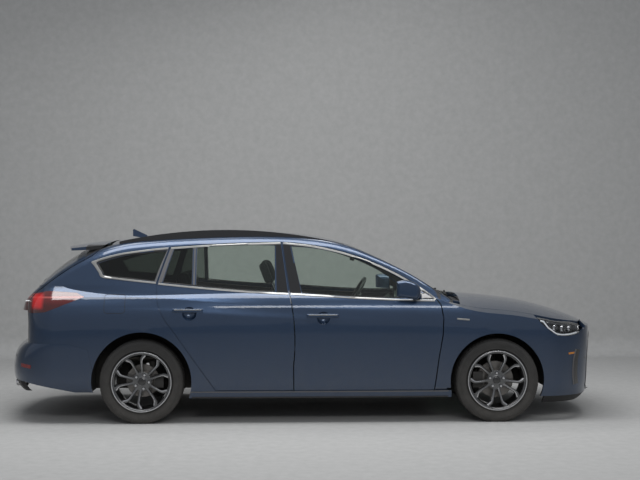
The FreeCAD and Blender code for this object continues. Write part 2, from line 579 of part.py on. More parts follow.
# the dark valance below the bumper
VALANCE = REAR_BUMPER_FOOT[2:] + [(-2500, 150), (-1774, 150)]
valance = lower_solid(10.0, BUMPER_LEVELS).common(side_prism(VALANCE, -700, 700, -SEAT_GAP / 2))
export("rear_valance", [biggest(valance.cut([lower_solid(10 + WING_THICKNESS, BUMPER_LEVELS),
                                             rear_liner_space, mirrored(rear_liner_space)]))])
lamp = carved(OUTER.common(side_prism(TAIL_LAMP, 300, 1000)), [
    lower_solid(60), side_prism(TAILGATE, 300, 1000, SHUT_GAP)])
export("tail_lamps", both_sides(lamp))
skirt = carved(lower_solid().common(side_prism(SIDE_SKIRT, 300, 1000)), [
    lower_solid(24), arch_cut(REAR_AXLE_X, REAR_ARCH), arch_cut(FRONT_AXLE_X, FRONT_ARCH)])
export("side_skirts", both_sides(skirt))
RAIL = [(306, 1356), ((-340, 1456), (-1437, 1376)), (-1437, 1330), (306, 1300)]
rail = biggest(side_prism(RAIL, 588, 614).cut(upper_solid(-SEAT_GAP)))
export("roof_rails", both_sides(rail))

# ---------------------------------------------------------------- tailgate
tail_zone = side_prism(TAILGATE, -1000, 1000)
REAR_GLASS = [(-575, 1020), ((0, 1000), (575, 1020)), (500, 1268), ((0, 1290), (-500, 1268))]
TAILGATE_LAMP = [(-1000, 842), (-560, 842), (-500, 975), (-1000, 990)]
tail_inner = lower_solid(DOOR_THICKNESS, tail_inset=60.0).fuse(upper_solid(PILLAR_THICKNESS))
tailgate = OUTER.common(tail_zone).cut(tail_inner)
SPOILER_STATIONS = [(-1513.0, 560.0, 1388.0, 1352.0, 30.0), (-1690.0, 560.0, 1374.0, 1336.0, 26.0),
                    (-1915.0, 560.0, 1336.0, 1312.0, 10.0)]
wires = []
for sx, half, centre, edge, thick in SPOILER_STATIONS:
    top = Part.Arc(V(sx, -half, edge), V(sx, 0, centre), V(sx, half, edge)).toShape()
    low = Part.Arc(V(sx, -half, edge - thick), V(sx, 0, centre - thick), V(sx, half, edge - thick)).toShape()
    ends = [Part.LineSegment(V(sx, s * half, edge), V(sx, s * half, edge - thick)).toShape() for s in (-1, 1)]
    wires.append(Part.Wire(Part.__sortEdges__([top, low] + ends)))
spoiler = Part.makeLoft(wires, True, False).common(
    plan_prism([(-1512, -600), (-1512, 600), (-1815, 560), ((-1892, 0), (-1815, -560))], 1200, 1500))
tailgate = tailgate.fuse(spoiler.common(tail_zone))
x, z = TAILGATE_HINGE
tail_cuts = [rear_prism(REAR_GLASS, -2400, -1500)]
tail_cuts += [rear_prism(TAILGATE_LAMP, -2400, -1900, SEAT_GAP).cut(lower_solid(40 + SEAT_GAP))]
tail_cuts += [mirrored(tail_cuts[1])]
for y in (-TAILGATE_HINGE_Y, TAILGATE_HINGE_Y):
    tail_cuts.append(box(x - 12, -1500, y - POCKET_HALF, y + POCKET_HALF, z - ARM_DEPTH - 14, z + 8))
tailgate = carved(tailgate, tail_cuts)
for y in (-TAILGATE_HINGE_Y, TAILGATE_HINGE_Y):
    tailgate = tailgate.fuse(cylinder_y(x, z, PIN_RADIUS, y - POCKET_HALF - 4, y + POCKET_HALF + 4))
export("tailgate", [biggest(tailgate)])
tail_glass = GLASS_OUT.common(rear_prism(REAR_GLASS, -2400, -1500, -SEAT_GAP)).cut(
    [GLASS_IN, box(-1750, -1000, -900, 900, 0, 1290)])
export("tailgate_glass", [biggest(tail_glass)])
tail_lamp = OUTER.common(tail_zone).common(rear_prism(TAILGATE_LAMP, -2400, -1900)).cut(lower_solid(40))
export("tailgate_lamps", both_sides(biggest(tail_lamp)))

# ---------------------------------------------------------------- underbody, welded in one piece
FLOOR_Z, FLOOR_WALL, LOAD_FLOOR_Z = 205.0, 20.0, 480.0
BULKHEAD_X, SEAT_RISER_X, SEAT_PAN_Z, KICK_UP_X = 1045.0, -420.0, 320.0, -820.0
TUNNEL_HALF, TUNNEL_TOP = 120.0, 370.0
RAIL_Y0, RAIL_Y1 = 400.0, 470.0
TOWER_Z = 775.0
KINGPIN_LOW = V(FRONT_AXLE_X, 722.0, 190.0)
KINGPIN_TOP = V(FRONT_AXLE_X, 600.0, 790.0)
KINGPIN = (KINGPIN_TOP - KINGPIN_LOW).normalize()
BALL = KINGPIN_LOW - KINGPIN * 14


def underbody():
    """Floor, tunnel, bulkhead, load floor, front rails, strut towers and the bonnet's hinge brackets."""
    wall_x = BULKHEAD_X + 25
    plates = [box(SEAT_RISER_X, wall_x, -900, 900, FLOOR_Z, FLOOR_Z + FLOOR_WALL),
              box(BULKHEAD_X, wall_x, -900, 900, FLOOR_Z, 868),
              box(SEAT_RISER_X - 20, SEAT_RISER_X, -900, 900, FLOOR_Z, SEAT_PAN_Z + 20),
              box(KICK_UP_X, SEAT_RISER_X, -900, 900, SEAT_PAN_Z, SEAT_PAN_Z + 20),
              box(KICK_UP_X - 20, KICK_UP_X, -900, 900, SEAT_PAN_Z, LOAD_FLOOR_Z + 20),
              box(-2125, KICK_UP_X, -900, 900, LOAD_FLOOR_Z, LOAD_FLOOR_Z + 20),
              box(-2125, -2105, -900, 900, LOAD_FLOOR_Z, 600),
              box(SEAT_RISER_X - 20, BULKHEAD_X, -TUNNEL_HALF, TUNNEL_HALF, FLOOR_Z, TUNNEL_TOP)]
    shell = plates[0].fuse(plates[1:]).cut(
        box(SEAT_RISER_X - 40, BULKHEAD_X + 30, 20 - TUNNEL_HALF, TUNNEL_HALF - 20, 150, TUNNEL_TOP - 20))
    shell = shell.common(CABIN_SEAT)
    front = []
    for s in (-1, 1):
        lo, hi = sorted((s * RAIL_Y0, s * RAIL_Y1))
        front.append(box(wall_x - 5, 2205, lo, hi, 400, 480))
        front.append(box(1390, 1534, lo, hi, 470, TOWER_Z))
        lo, hi = sorted((s * RAIL_Y0, s * 668))
        front.append(box(1390, 1534, lo, hi, TOWER_Z - 15, TOWER_Z))
        lo, hi = sorted((s * (BONNET_HINGE_Y - 26), s * (BONNET_HINGE_Y - 13)))
        front.append(box(wall_x - 5, x_hinge + 14, lo, hi, 800, 880))
        front.append(cylinder_y(x_hinge, z_hinge, PIN_RADIUS,
                                min(s * (BONNET_HINGE_Y - 20), s * (BONNET_HINGE_Y + 12)),
                                max(s * (BONNET_HINGE_Y - 20), s * (BONNET_HINGE_Y + 12))))
    front.append(box(2180, 2205, -560, 560, 400, 480))
    shell = shell.fuse(front)
    bores = [cylinder(KINGPIN_LOW, KINGPIN_TOP + KINGPIN * 30, 8 + PIN_CLEARANCE)]
    bores += [mirrored(bores[0])]
    bores += [liner_space(REAR_AXLE_X, 615, SEAT_GAP), mirrored(liner_space(REAR_AXLE_X, 615, SEAT_GAP))]
    bores += [box(-1112, -100, y, y + 240, 262, 1000) for y in (-1000, 760)]
    return biggest(shell.cut(bores))


x_hinge, z_hinge = BONNET_HINGE
export("underbody", [underbody()])


def arch_liner(axle_x, inner_y, floor_z, edge):
    """A wheel's liner: a hood with an inner wall, open below."""
    outer = cylinder_y(axle_x, AXLE_Z, LINER_RADIUS + LINER_WALL, inner_y, 1000)
    hollow = cylinder_y(axle_x, AXLE_Z, LINER_RADIUS, inner_y + LINER_WALL, 1001)
    hood = outer.cut([hollow, box(axle_x - 500, axle_x + 500, 0, 1100, -200, floor_z),
                      box(axle_x - 130, axle_x + 130, 0, inner_y + 20, 0, 480)])
    return hood.common(edge)


front_liner = arch_liner(FRONT_AXLE_X, 484.0, 262.0, WING_SEAT)
front_liner = front_liner.cut(box(1380, 1544, 400, 700, 640, 800))
rear_liner = arch_liner(REAR_AXLE_X, 615.0, 240.0, WING_SEAT)
export("arch_liners", both_sides(biggest(front_liner)) + both_sides(biggest(rear_liner)))

# scuttle tray under the windscreen's foot
TRAY_HALF, TRAY_Z = 590.0, 868.0 + SEAT_GAP
tray = box(1085, 1125, -TRAY_HALF, TRAY_HALF, TRAY_Z, 990).common(upper_solid(6.0 + SEAT_GAP)).fuse(
    box(1120, 1250, -TRAY_HALF, TRAY_HALF, TRAY_Z, 990).common(FRONT_END).cut(
        [above_bonnet(LID_THICKNESS + SHUT_GAP + 1), bonnet_zone(-60)]))
export("scuttle", [biggest(tray)])

# ---------------------------------------------------------------- engine, suspension, exhaust
SUBFRAME_Z0, SUBFRAME_Z1 = 195.0, 245.0
engine = rounded_box(1500, 1860, -330, 330, SUBFRAME_Z1 + SEAT_GAP, 770, 24)
export("engine_block", [engine])


def front_subframe():
    """Cross-member under the engine with the two lower arms and their ball pins."""
    frame = box(1380, 1620, -360, 360, SUBFRAME_Z0, SUBFRAME_Z1)
    for s in (-1, 1):
        lo, hi = sorted((s * 330, s * 396))
        frame = frame.fuse(box(1400, 1520, lo, hi, SUBFRAME_Z0, 399.7))
        lo, hi = sorted((s * 380, s * RAIL_Y1))
        frame = frame.fuse(box(1400, 1520, lo, hi, 360, 399.7))
        root, tip = V(FRONT_AXLE_X, s * 340, 215), V(BALL.x, s * BALL.y, BALL.z)
        frame = frame.fuse([cylinder(root, tip, 13), Part.makeSphere(17, tip)])
        axis = V(KINGPIN.x, s * KINGPIN.y, KINGPIN.z)
        frame = frame.fuse(cylinder(tip, tip + axis * 52, 8))
    return frame


export("front_subframe", [biggest(front_subframe())])


def knuckle():
    """Left front knuckle with its stub axle, caliper and the strut up to the tower."""
    upright = box(FRONT_AXLE_X - 30, FRONT_AXLE_X + 30, 692, 736, 208, 436)
    eye = cylinder(KINGPIN_LOW + KINGPIN * 8, KINGPIN_LOW + KINGPIN * 50, 20)
    clamp = box(FRONT_AXLE_X - 26, FRONT_AXLE_X + 26, 622, 730, 404, 436)
    stub = cylinder_y(FRONT_AXLE_X, AXLE_Z, 14, 720, 812)
    foot, head = V(FRONT_AXLE_X, 638, 410), KINGPIN_TOP - KINGPIN * 44
    strut = cylinder(foot, head, 24).fuse(cylinder(head - KINGPIN * 6, KINGPIN_TOP + KINGPIN * 4, 8))
    caliper = box(FRONT_AXLE_X - 176, FRONT_AXLE_X - 100, 726, 802, AXLE_Z - 60, AXLE_Z + 60).cut(
        cylinder_y(FRONT_AXLE_X, AXLE_Z, DISC_RADIUS + 5, DISC_Y0 - 5, DISC_Y1 + 5))
    bracket = box(FRONT_AXLE_X - 120, FRONT_AXLE_X - 20, 700, 732, AXLE_Z - 40, AXLE_Z + 40)
    whole = upright.fuse([eye, clamp, stub, strut, caliper, bracket])
    whole = whole.cut(cylinder(KINGPIN_LOW - KINGPIN * 30, KINGPIN_LOW + KINGPIN * 48, 8 + PIN_CLEARANCE))
    return biggest(whole)


DISC_RADIUS, DISC_Y0, DISC_Y1 = 140.0, 752.0, 776.0
knuckle_left = knuckle()
export("knuckle_left", [knuckle_left])
export("knuckle_right", [mirrored(knuckle_left)])

# rear twist beam with trailing arms, stub axles, calipers and springs
BUSH_Y0, BUSH_Y1 = 540.0, 600.0          # trailing arm and its bush bracket
beam = cylinder_y(-1000, 300, 42, -540, 540)
for s in (-1, 1):
    lo, hi = sorted((s * BUSH_Y0, s * BUSH_Y1))
    beam = beam.fuse(box(REAR_AXLE_X - 50, -860, lo, hi, 262, 338))
    lo, hi = sorted((s * 590, s * 720))
    beam = beam.fuse(box(REAR_AXLE_X - 50, REAR_AXLE_X + 50, lo, hi, 270, 360))
    beam = beam.fuse(cylinder_y(REAR_AXLE_X, AXLE_Z, 14, *sorted((s * 700, s * 812))))
    beam = beam.fuse(Part.makeCylinder(45, LOAD_FLOOR_Z - 300 - SEAT_GAP, V(-1130, s * 555, 300), Z_AXIS))
    lo, hi = sorted((s * BUSH_Y0, s * BUSH_Y1))
    beam = beam.fuse(box(-870, -760, lo, hi, 262, 300).fuse(
        box(-800, -770, lo, hi, 262, SEAT_PAN_Z - SEAT_GAP)))
    lo, hi = sorted((s * 716, s * 800))
    caliper = box(REAR_AXLE_X + 90, REAR_AXLE_X + 160, lo, hi, AXLE_Z - 50, AXLE_Z + 50).cut(
        cylinder_y(REAR_AXLE_X, AXLE_Z, 130, *sorted((s * (DISC_Y0 - 5), s * (DISC_Y1 + 5)))))
    lo, hi = sorted((s * 690, s * 730))
    beam = beam.fuse([caliper, box(REAR_AXLE_X + 30, REAR_AXLE_X + 120, lo, hi, 280, 350)])
export("rear_axle", [biggest(beam)])

pipe = [V(1497.2, 0, 285), V(1380, 0, 275), V(-860, 0, 275), V(-960, 0, 420), V(-1640, 0, 410)]
exhaust = cylinder(pipe[0], pipe[1], 28)
for a, b in zip(pipe[1:], pipe[2:]):
    exhaust = exhaust.fuse([cylinder(a, b, 28), Part.makeSphere(28, a)])
silencer = rounded_box(-2040, -1620, -330, 330, 310, 450, 40)
exhaust = exhaust.fuse([silencer, box(-1850, -1810, -20, 20, 440, LOAD_FLOOR_Z - SEAT_GAP)])
export("exhaust", [biggest(exhaust)])
tank = rounded_box(-800, -450, 140, BUSH_Y0 - 5, 200, SEAT_PAN_Z - SEAT_GAP, 20)
export("fuel_tank", [tank])

# ---------------------------------------------------------------- wheels
RIM_INNER = RIM_DIAMETER / 2 - 24
SPOKE_Y0, SPOKE_Y1 = WHEEL_Y + 26, WHEEL_Y + 88


def tyre(axle_x):
    """A left tyre: rounded shoulders, open bead, cut flat where it stands."""
    r0, r1, half = RIM_DIAMETER / 2 + SEAT_GAP, TYRE_DIAMETER / 2, TYRE_WIDTH / 2
    profile = [(r0, -half + 12), (r0 + 22, -half + 2), ((r0 + 48, -half - 1), (r1 - 26, -half + 6)),
               ((r1 - 8, -half + 16), (r1, -half + 38)), (r1, half - 38), ((r1 - 8, half - 16), (r1 - 26, half - 6)),
               ((r0 + 48, half + 1), (r0 + 22, half - 2)), (r0, half - 12)]
    wire = path_wire(profile, lambda r, w: V(axle_x, WHEEL_Y + w, AXLE_Z + r))
    ring = Part.Face(wire).revolve(V(axle_x, 0, AXLE_Z), Y_AXIS, 360)
    return ring.cut(box(axle_x - 400, axle_x + 400, 600, 1000, -50, 0))


def rim(axle_x, turn):
    """A left alloy wheel: barrel, ten spokes in five pairs, hub, bolts' face and brake disc."""
    r1, half = RIM_DIAMETER / 2, TYRE_WIDTH / 2
    barrel = [(RIM_INNER, -half), (r1, -half), (r1, half + 2), (RIM_INNER + 12, half + 2), (RIM_INNER, half - 20)]
    wire = path_wire(barrel, lambda r, w: V(axle_x, WHEEL_Y + w, AXLE_Z + r))
    whole = Part.Face(wire).revolve(V(axle_x, 0, AXLE_Z), Y_AXIS, 360)
    hub = cylinder_y(axle_x, AXLE_Z, 74, WHEEL_Y - 6, WHEEL_Y + 62).fuse(
        cylinder_y(axle_x, AXLE_Z, DISC_RADIUS if axle_x > 0 else 125.0, DISC_Y0, DISC_Y1))
    spokes = []
    for k in range(5):
        for side in (-1, 1):
            lean = math.radians(turn + 72 * k + 36 + side * 7.5)
            foot = math.radians(turn + 72 * k + 36 + side * 13)
            tip = math.radians(turn + 72 * k + 36 + side * 15)
            points = []
            for angle, radius, width in ((foot, 56, 17), (lean, 150, 12), (tip, RIM_INNER + 8, 15)):
                centre = V(math.cos(angle), 0, math.sin(angle)) * radius
                points.append((centre, V(-math.sin(angle), 0, math.cos(angle)) * width))
            ring = [c + n for c, n in points] + [c - n for c, n in reversed(points)]
            base = [V(axle_x + p.x, SPOKE_Y0, AXLE_Z + p.z) for p in ring]
            spokes.append(Part.Face(Part.makePolygon(base + base[:1])).extrude(V(0, SPOKE_Y1 - SPOKE_Y0, 0)))
    outer = [(0, WHEEL_Y + 60), (60, WHEEL_Y + 62), ((140, WHEEL_Y + 84), (236, WHEEL_Y + 88))]
    inner = [(236, WHEEL_Y + 40), ((140, WHEEL_Y + 40), (60, WHEEL_Y + 20)), (0, WHEEL_Y + 20)]
    section = Part.Face(path_wire(outer + inner, lambda r, y: V(axle_x + r, y, AXLE_Z)))
    dish = section.revolve(V(axle_x, 0, AXLE_Z), Y_AXIS, 360)
    spokes = spokes[0].fuse(spokes[1:]).common(dish)
    whole = whole.fuse([hub, spokes])
    return biggest(whole.cut([cylinder_y(axle_x, AXLE_Z, 14 + PIN_CLEARANCE, WHEEL_Y - 60, 814)]))


for name, axle_x, turn in (("front", FRONT_AXLE_X, 18.0), ("rear", REAR_AXLE_X, -4.0)):
    left_tyre, left_rim = tyre(axle_x), rim(axle_x, turn)
    export(f"tyre_{name}_left", [left_tyre])
    export(f"tyre_{name}_right", [mirrored(left_tyre)])
    export(f"rim_{name}_left", [left_rim])
    export(f"rim_{name}_right", [mirrored(left_rim)])

# ---------------------------------------------------------------- cabin
INSIDE = lower_solid(DOOR_THICKNESS + 9).fuse(upper_solid(PILLAR_THICKNESS + 9))
DASH = [(1044.7, 560), (1044.7, 868), (980, 905), ((820, 930), (740, 880)), (700, 800), (760, 560)]
DASH_HALF = 752.0
dash = side_prism(DASH, -DASH_HALF, DASH_HALF).common(INSIDE)
WHEEL_CENTRE, WHEEL_TILT, WHEEL_RADIUS = V(455, 370, 905), 30.0, 185.0
column_axis = V(-math.cos(math.radians(WHEEL_TILT)), 0, math.sin(math.radians(WHEEL_TILT)))
column = cylinder(WHEEL_CENTRE - column_axis * 330, WHEEL_CENTRE - column_axis * 70, 42)
stalk_pin = cylinder(WHEEL_CENTRE - column_axis * 100, WHEEL_CENTRE - column_axis * 26, 9)
export("dashboard", [biggest(dash.fuse([column, stalk_pin]))])


def steering_wheel():
    """Rim, three spokes and boss, lying in a plane across the column."""
    ring = Part.makeTorus(WHEEL_RADIUS - 15, 15, V(0, 0, 0), Z_AXIS)
    boss = Part.makeCylinder(52, 44, V(0, 0, -44), Z_AXIS)
    reach = WHEEL_RADIUS - 15
    spokes = [box(-17, 17, -reach, reach, -16, -4), box(-reach, 0, -17, 17, -16, -4)]
    whole = ring.fuse([boss] + spokes)
    whole = whole.cut(Part.makeCylinder(9 + PIN_CLEARANCE, 60, V(0, 0, -82), Z_AXIS))
    whole.rotate(V(0, 0, 0), Y_AXIS, -(90 - WHEEL_TILT))
    whole.translate(WHEEL_CENTRE)
    return whole


export("steering_wheel", [biggest(steering_wheel())])


SEAT_HALF = 250.0
SEAT_Y = TUNNEL_HALF + SEAT_HALF + 1.0       # clear of the tunnel's side


def front_seat(y):
    """Cushion, leaning backrest and headrest on its rails."""
    cushion = rounded_box(-60, 470, y - SEAT_HALF, y + SEAT_HALF, 300, 440, 45)
    rail_z = FLOOR_Z + FLOOR_WALL + SEAT_GAP
    rails = [box(-20, 400, y + s * 200 - 15, y + s * 200 + 15, rail_z, 320) for s in (-1, 1)]
    back = rounded_box(-60, 60, y - SEAT_HALF, y + SEAT_HALF, 0, 640, 50)
    head = rounded_box(-60, 40, y - 135, y + 135, 690, 880, 40)
    posts = [Part.makeCylinder(7, 90, V(-10, y + s * 60, 620), Z_AXIS) for s in (-1, 1)]
    upper = back.fuse([head] + posts)
    upper.rotate(V(0, y, 0), Y_AXIS, -21)
    upper.translate(V(0, 0, 400))
    return cushion.fuse(rails + [upper])


export("front_seats", [front_seat(-SEAT_Y), front_seat(SEAT_Y)])


def rear_seat():
    """One bench with a split backrest and three headrests."""
    cushion = rounded_box(-790, -300, -640, 640, SEAT_PAN_Z + 20 + SEAT_GAP, 480, 40)
    back = rounded_box(-60, 70, -600, 600, 0, 560, 45)
    heads = [rounded_box(-55, 35, y - 120, y + 120, 590, 730, 35) for y in (-380, 0, 380)]
    posts = [Part.makeCylinder(7, 60, V(-10, y + s * 50, 545), Z_AXIS)
             for y in (-380, 0, 380) for s in (-1, 1)]
    upper = back.fuse(heads + posts)
    upper.rotate(V(0, 0, 0), Y_AXIS, -18)
    upper.translate(V(-730, 0, 510 - 70))
    notch = box(SEAT_RISER_X - 23, -280, -TUNNEL_HALF - 3, TUNNEL_HALF + 3, 300, TUNNEL_TOP + 3)
    return cushion.cut(notch).fuse(upper)


export("rear_seat", [biggest(rear_seat())])

# ---------------------------------------------------------------- mirrors
# columns: y, middle x, middle z, half height, half length
MIRROR_STATIONS = [
    (842.0, 850.0, 962.0, 22.0, 38.0),
    (890.0, 838.0, 966.0, 20.0, 34.0),
    (912.0, 788.0, 1002.0, 64.0, 74.0),
    (955.0, 772.0, 1010.0, 72.0, 88.0),
    (HALF_WIDTH + 77.0, 770.0, 1012.0, 48.0, 64.0),
]


def mirror():
    """A left door mirror: foot on the door's sail, arm and housing."""
    wires = []
    for y, xc, zc, half_z, half_x in MIRROR_STATIONS:
        corners = [(xc - half_x, zc - half_z * 0.7), (xc + half_x * 0.7, zc - half_z),
                   ((xc + half_x * 1.05, zc), (xc + half_x * 0.45, zc + half_z * 0.8)),
                   ((xc - half_x * 0.2, zc + half_z * 1.02), (xc - half_x, zc + half_z * 0.85))]
        wires.append(path_wire(corners, lambda a, b: V(a, y, b)))
    return biggest(Part.makeLoft(wires, True, False).cut(skin(-SEAT_GAP)))


mirror_left = mirror()
export("mirror_left", [mirror_left])
export("mirror_right", [mirrored(mirror_left)])
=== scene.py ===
"""Finishes, trim, lamps, wheels, seats and studio of a five-door station wagon.

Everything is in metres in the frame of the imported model: +X forward, +Y to the car's left, +Z up,
with the origin on the ground under the middle of the car.
"""

import logging
import math
from dataclasses import dataclass, field
from enum import Enum
from functools import reduce
from typing import Callable, Iterable, Optional, Sequence

import bmesh
import bpy
from mathutils import Matrix, Vector
from mathutils.bvhtree import BVHTree


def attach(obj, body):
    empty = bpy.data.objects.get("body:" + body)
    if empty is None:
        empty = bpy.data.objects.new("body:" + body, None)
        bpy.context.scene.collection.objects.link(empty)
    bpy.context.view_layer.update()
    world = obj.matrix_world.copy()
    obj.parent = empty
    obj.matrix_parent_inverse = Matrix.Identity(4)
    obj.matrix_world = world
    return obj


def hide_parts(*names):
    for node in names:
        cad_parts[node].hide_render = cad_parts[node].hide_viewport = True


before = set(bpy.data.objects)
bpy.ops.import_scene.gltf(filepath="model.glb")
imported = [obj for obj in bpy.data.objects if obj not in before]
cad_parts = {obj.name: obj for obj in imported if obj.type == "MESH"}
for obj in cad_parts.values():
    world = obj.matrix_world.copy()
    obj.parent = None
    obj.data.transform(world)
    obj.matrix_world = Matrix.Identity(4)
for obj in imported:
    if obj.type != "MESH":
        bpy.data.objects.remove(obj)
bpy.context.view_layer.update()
log = logging.getLogger("station_wagon")

Colour = tuple[float, float, float]
Point2 = tuple[float, float]
Point3 = tuple[float, float, float]
Rows = list[list[Point2]]
Node, Socket, NodeTree = bpy.types.Node, bpy.types.NodeSocket, bpy.types.NodeTree
Mesh, Material = bpy.types.Mesh, bpy.types.Material
SIDES: dict[str, int] = {"left": 1, "right": -1}


# ---------------------------------------------------------------- node trees
class Bench:
    """Places nodes in one tree and joins them."""

    def __init__(self, tree: NodeTree) -> None:
        """Takes the tree to work in."""
        self.tree = tree

    def add(self, kind: str, options: Optional[dict[str, object]] = None, **sockets: object) -> Node:
        """Places a node.

        Args:
            kind: the node's type name.
            options: settings of the node itself.
            sockets: values or outputs for its inputs, by name, with _ for a space.

        Returns:
            The new node.
        """
        node = self.tree.nodes.new(kind)
        for key, value in (options or {}).items():
            setattr(node, key, value)
        for key, value in sockets.items():
            self.feed(node, key, value)
        return node

    def feed(self, node: Node, key: str, value: object) -> None:
        """Sets or joins one input, named, or numbered as n0, n1."""
        numbered = key[0] == "n" and key[1:].isdigit()
        socket = node.inputs[int(key[1:]) if numbered else key.replace("_", " ")]
        if isinstance(value, Socket):
            self.tree.links.new(value, socket)
        elif isinstance(value, tuple) and len(value) == 3 and socket.type == "RGBA":
            socket.default_value = (*value, 1.0)
        else:
            socket.default_value = value

    def maths(self, operation: str, a: object, b: object = 0.0, clamp: bool = False) -> Socket:
        """One sum of two values."""
        return self.add("ShaderNodeMath", {"operation": operation, "use_clamp": clamp}, n0=a, n1=b).outputs[0]

    def plus(self, *values: object) -> Socket:
        """The values added up."""
        return reduce(lambda a, b: self.maths("ADD", a, b), values)

    def times(self, *values: object) -> Socket:
        """The values multiplied."""
        return reduce(lambda a, b: self.maths("MULTIPLY", a, b), values)

    def minus(self, a: object, b: object) -> Socket:
        """The second value taken from the first."""
        return self.maths("SUBTRACT", a, b)

    def largest(self, *values: object) -> Socket:
        """The largest of the values."""
        return reduce(lambda a, b: self.maths("MAXIMUM", a, b), values)

    def step(self, value: object, low: float, high: float) -> Socket:
        """A smooth rise from 0 at low to 1 at high."""
        node = self.add("ShaderNodeMapRange", {"interpolation_type": "SMOOTHSTEP"}, Value=value)
        for key, number in zip(("From Min", "From Max", "To Min", "To Max"), (low, high, 0.0, 1.0)):
            node.inputs[key].default_value = number
        return node.outputs["Result"]

    def band(self, value: object, low: float, high: float, soft: float) -> Socket:
        """1 between low and high, 0 outside, with soft edges."""
        above = self.step(value, low - soft, low + soft)
        return self.times(above, self.minus(1.0, self.step(value, high - soft, high + soft)))

    def mix(self, factor: object, a: object, b: object) -> Socket:
        """A colour between a and b."""
        node = self.add("ShaderNodeMix", {"data_type": "RGBA"})
        for index, value in ((0, factor), (6, a), (7, b)):
            if isinstance(value, Socket):
                self.tree.links.new(value, node.inputs[index])
            else:
                node.inputs[index].default_value = (*value, 1.0) if isinstance(value, tuple) else value
        return node.outputs[2]

    def place(self) -> tuple[Socket, Socket, Socket, Socket]:
        """The point in the car's frame, whole and as x, y and z."""
        where = self.add("ShaderNodeTexCoord").outputs["Object"]
        parts = self.add("ShaderNodeSeparateXYZ", Vector=where)
        return where, parts.outputs[0], parts.outputs[1], parts.outputs[2]


def shader_group(name: str, inputs: dict[str, float], outputs: Sequence[str],
                 fill: Callable[[Bench, Node], Sequence[Socket]]) -> NodeTree:
    """Builds one shared shader group.

    Args:
        name: the group's name.
        inputs: its value inputs and their defaults.
        outputs: the names of its value outputs.
        fill: places the nodes and returns what feeds each output.

    Returns:
        The group's tree.
    """
    tree = bpy.data.node_groups.new(name, "ShaderNodeTree")
    for label, default in inputs.items():
        socket = tree.interface.new_socket(name=label, in_out="INPUT", socket_type="NodeSocketFloat")
        socket.default_value = default
    for label in outputs:
        tree.interface.new_socket(name=label, in_out="OUTPUT", socket_type="NodeSocketFloat")
    bench = Bench(tree)
    entry = bench.add("NodeGroupInput")
    leave = bench.add("NodeGroupOutput")
    for index, value in enumerate(fill(bench, entry)):
        tree.links.new(value, leave.inputs[index])
    return tree


class Effect(Enum):
    """The shared shader groups."""

    VARIATION = "variation"
    GRAIN = "grain"
    FLAKES = "flakes"
    WEAVE = "weave"
    DUST = "dust"
    BRUSHED = "brushed"


def build_effects() -> dict[Effect, NodeTree]:
    """Builds every shared shader group once."""

    def variation(b: Bench, g: Node) -> Sequence[Socket]:
        where, _, _, _ = b.place()
        noise = b.add("ShaderNodeTexNoise", Vector=where, Scale=g.outputs["Scale"], Detail=4.0, Roughness=0.6)
        spread = b.minus(g.outputs["High"], g.outputs["Low"])
        return [b.plus(b.times(noise.outputs["Fac"], spread), g.outputs["Low"])]

    def grain(b: Bench, g: Node) -> Sequence[Socket]:
        where, _, _, _ = b.place()
        cells = b.add("ShaderNodeTexVoronoi", {"feature": "SMOOTH_F1"}, Vector=where,
                      Scale=g.outputs["Scale"],
                      Smoothness=0.6)
        return [b.times(cells.outputs["Distance"], g.outputs["Depth"])]

    def flakes(b: Bench, g: Node) -> Sequence[Socket]:
        where, _, _, _ = b.place()
        cells = b.add("ShaderNodeTexVoronoi", Vector=where, Scale=g.outputs["Scale"])
        tone = b.add("ShaderNodeSeparateColor", Color=cells.outputs["Color"])
        lift = b.times(b.minus(tone.outputs[0], 0.5), g.outputs["Amount"])
        return [b.plus(lift, 0.5), b.times(tone.outputs[1], 0.00002)]

    def weave(b: Bench, g: Node) -> Sequence[Socket]:
        _, x, y, z = b.place()
        warp = b.maths("SINE", b.times(y, g.outputs["Threads"]))
        run = b.plus(b.times(x, 0.8), z)
        weft = b.maths("SINE", b.times(run, g.outputs["Threads"]))
        cross = b.times(warp, weft)
        return [b.plus(b.times(cross, 0.5), 0.5), b.times(cross, g.outputs["Depth"])]

    def dust(b: Bench, g: Node) -> Sequence[Socket]:
        where, _, _, z = b.place()
        noise = b.add("ShaderNodeTexNoise", Vector=where, Scale=9.0, Detail=6.0, Roughness=0.7)
        low = b.maths("SUBTRACT", 1.0, b.maths("DIVIDE", z, g.outputs["Reach"]), clamp=True)
        share = b.times(low, noise.outputs["Fac"])
        return [b.maths("MULTIPLY", share, g.outputs["Amount"], clamp=True)]

    def brushed(b: Bench, g: Node) -> Sequence[Socket]:
        where, _, _, _ = b.place()
        stretch = b.add("ShaderNodeMapping", Vector=where)
        stretch.inputs["Scale"].default_value = (0.06, 1.0, 1.0)
        noise = b.add("ShaderNodeTexNoise", Vector=stretch.outputs[0], Scale=g.outputs["Scale"], Detail=3.0)
        return [noise.outputs["Fac"], b.times(noise.outputs["Fac"], 0.00003)]

    groups = (
        (Effect.VARIATION, "tone_variation", {"Scale": 6.0, "Low": 0.3, "High": 0.5}, ["Value"], variation),
        (Effect.GRAIN, "moulded_grain", {"Scale": 700.0, "Depth": 0.0004}, ["Height"], grain),
        (Effect.FLAKES, "paint_flakes", {"Scale": 1500.0, "Amount": 0.5}, ["Tone", "Height"], flakes),
        (Effect.WEAVE, "cloth_weave", {"Threads": 2600.0, "Depth": 0.0004}, ["Mask", "Height"], weave),
        (Effect.DUST, "road_dust", {"Reach": 0.7, "Amount": 0.5}, ["Mask"], dust),
        (Effect.BRUSHED, "brushed_metal", {"Scale": 300.0}, ["Mask", "Height"], brushed),
    )
    return {kind: shader_group(*rest) for kind, *rest in groups}


EFFECTS = build_effects()


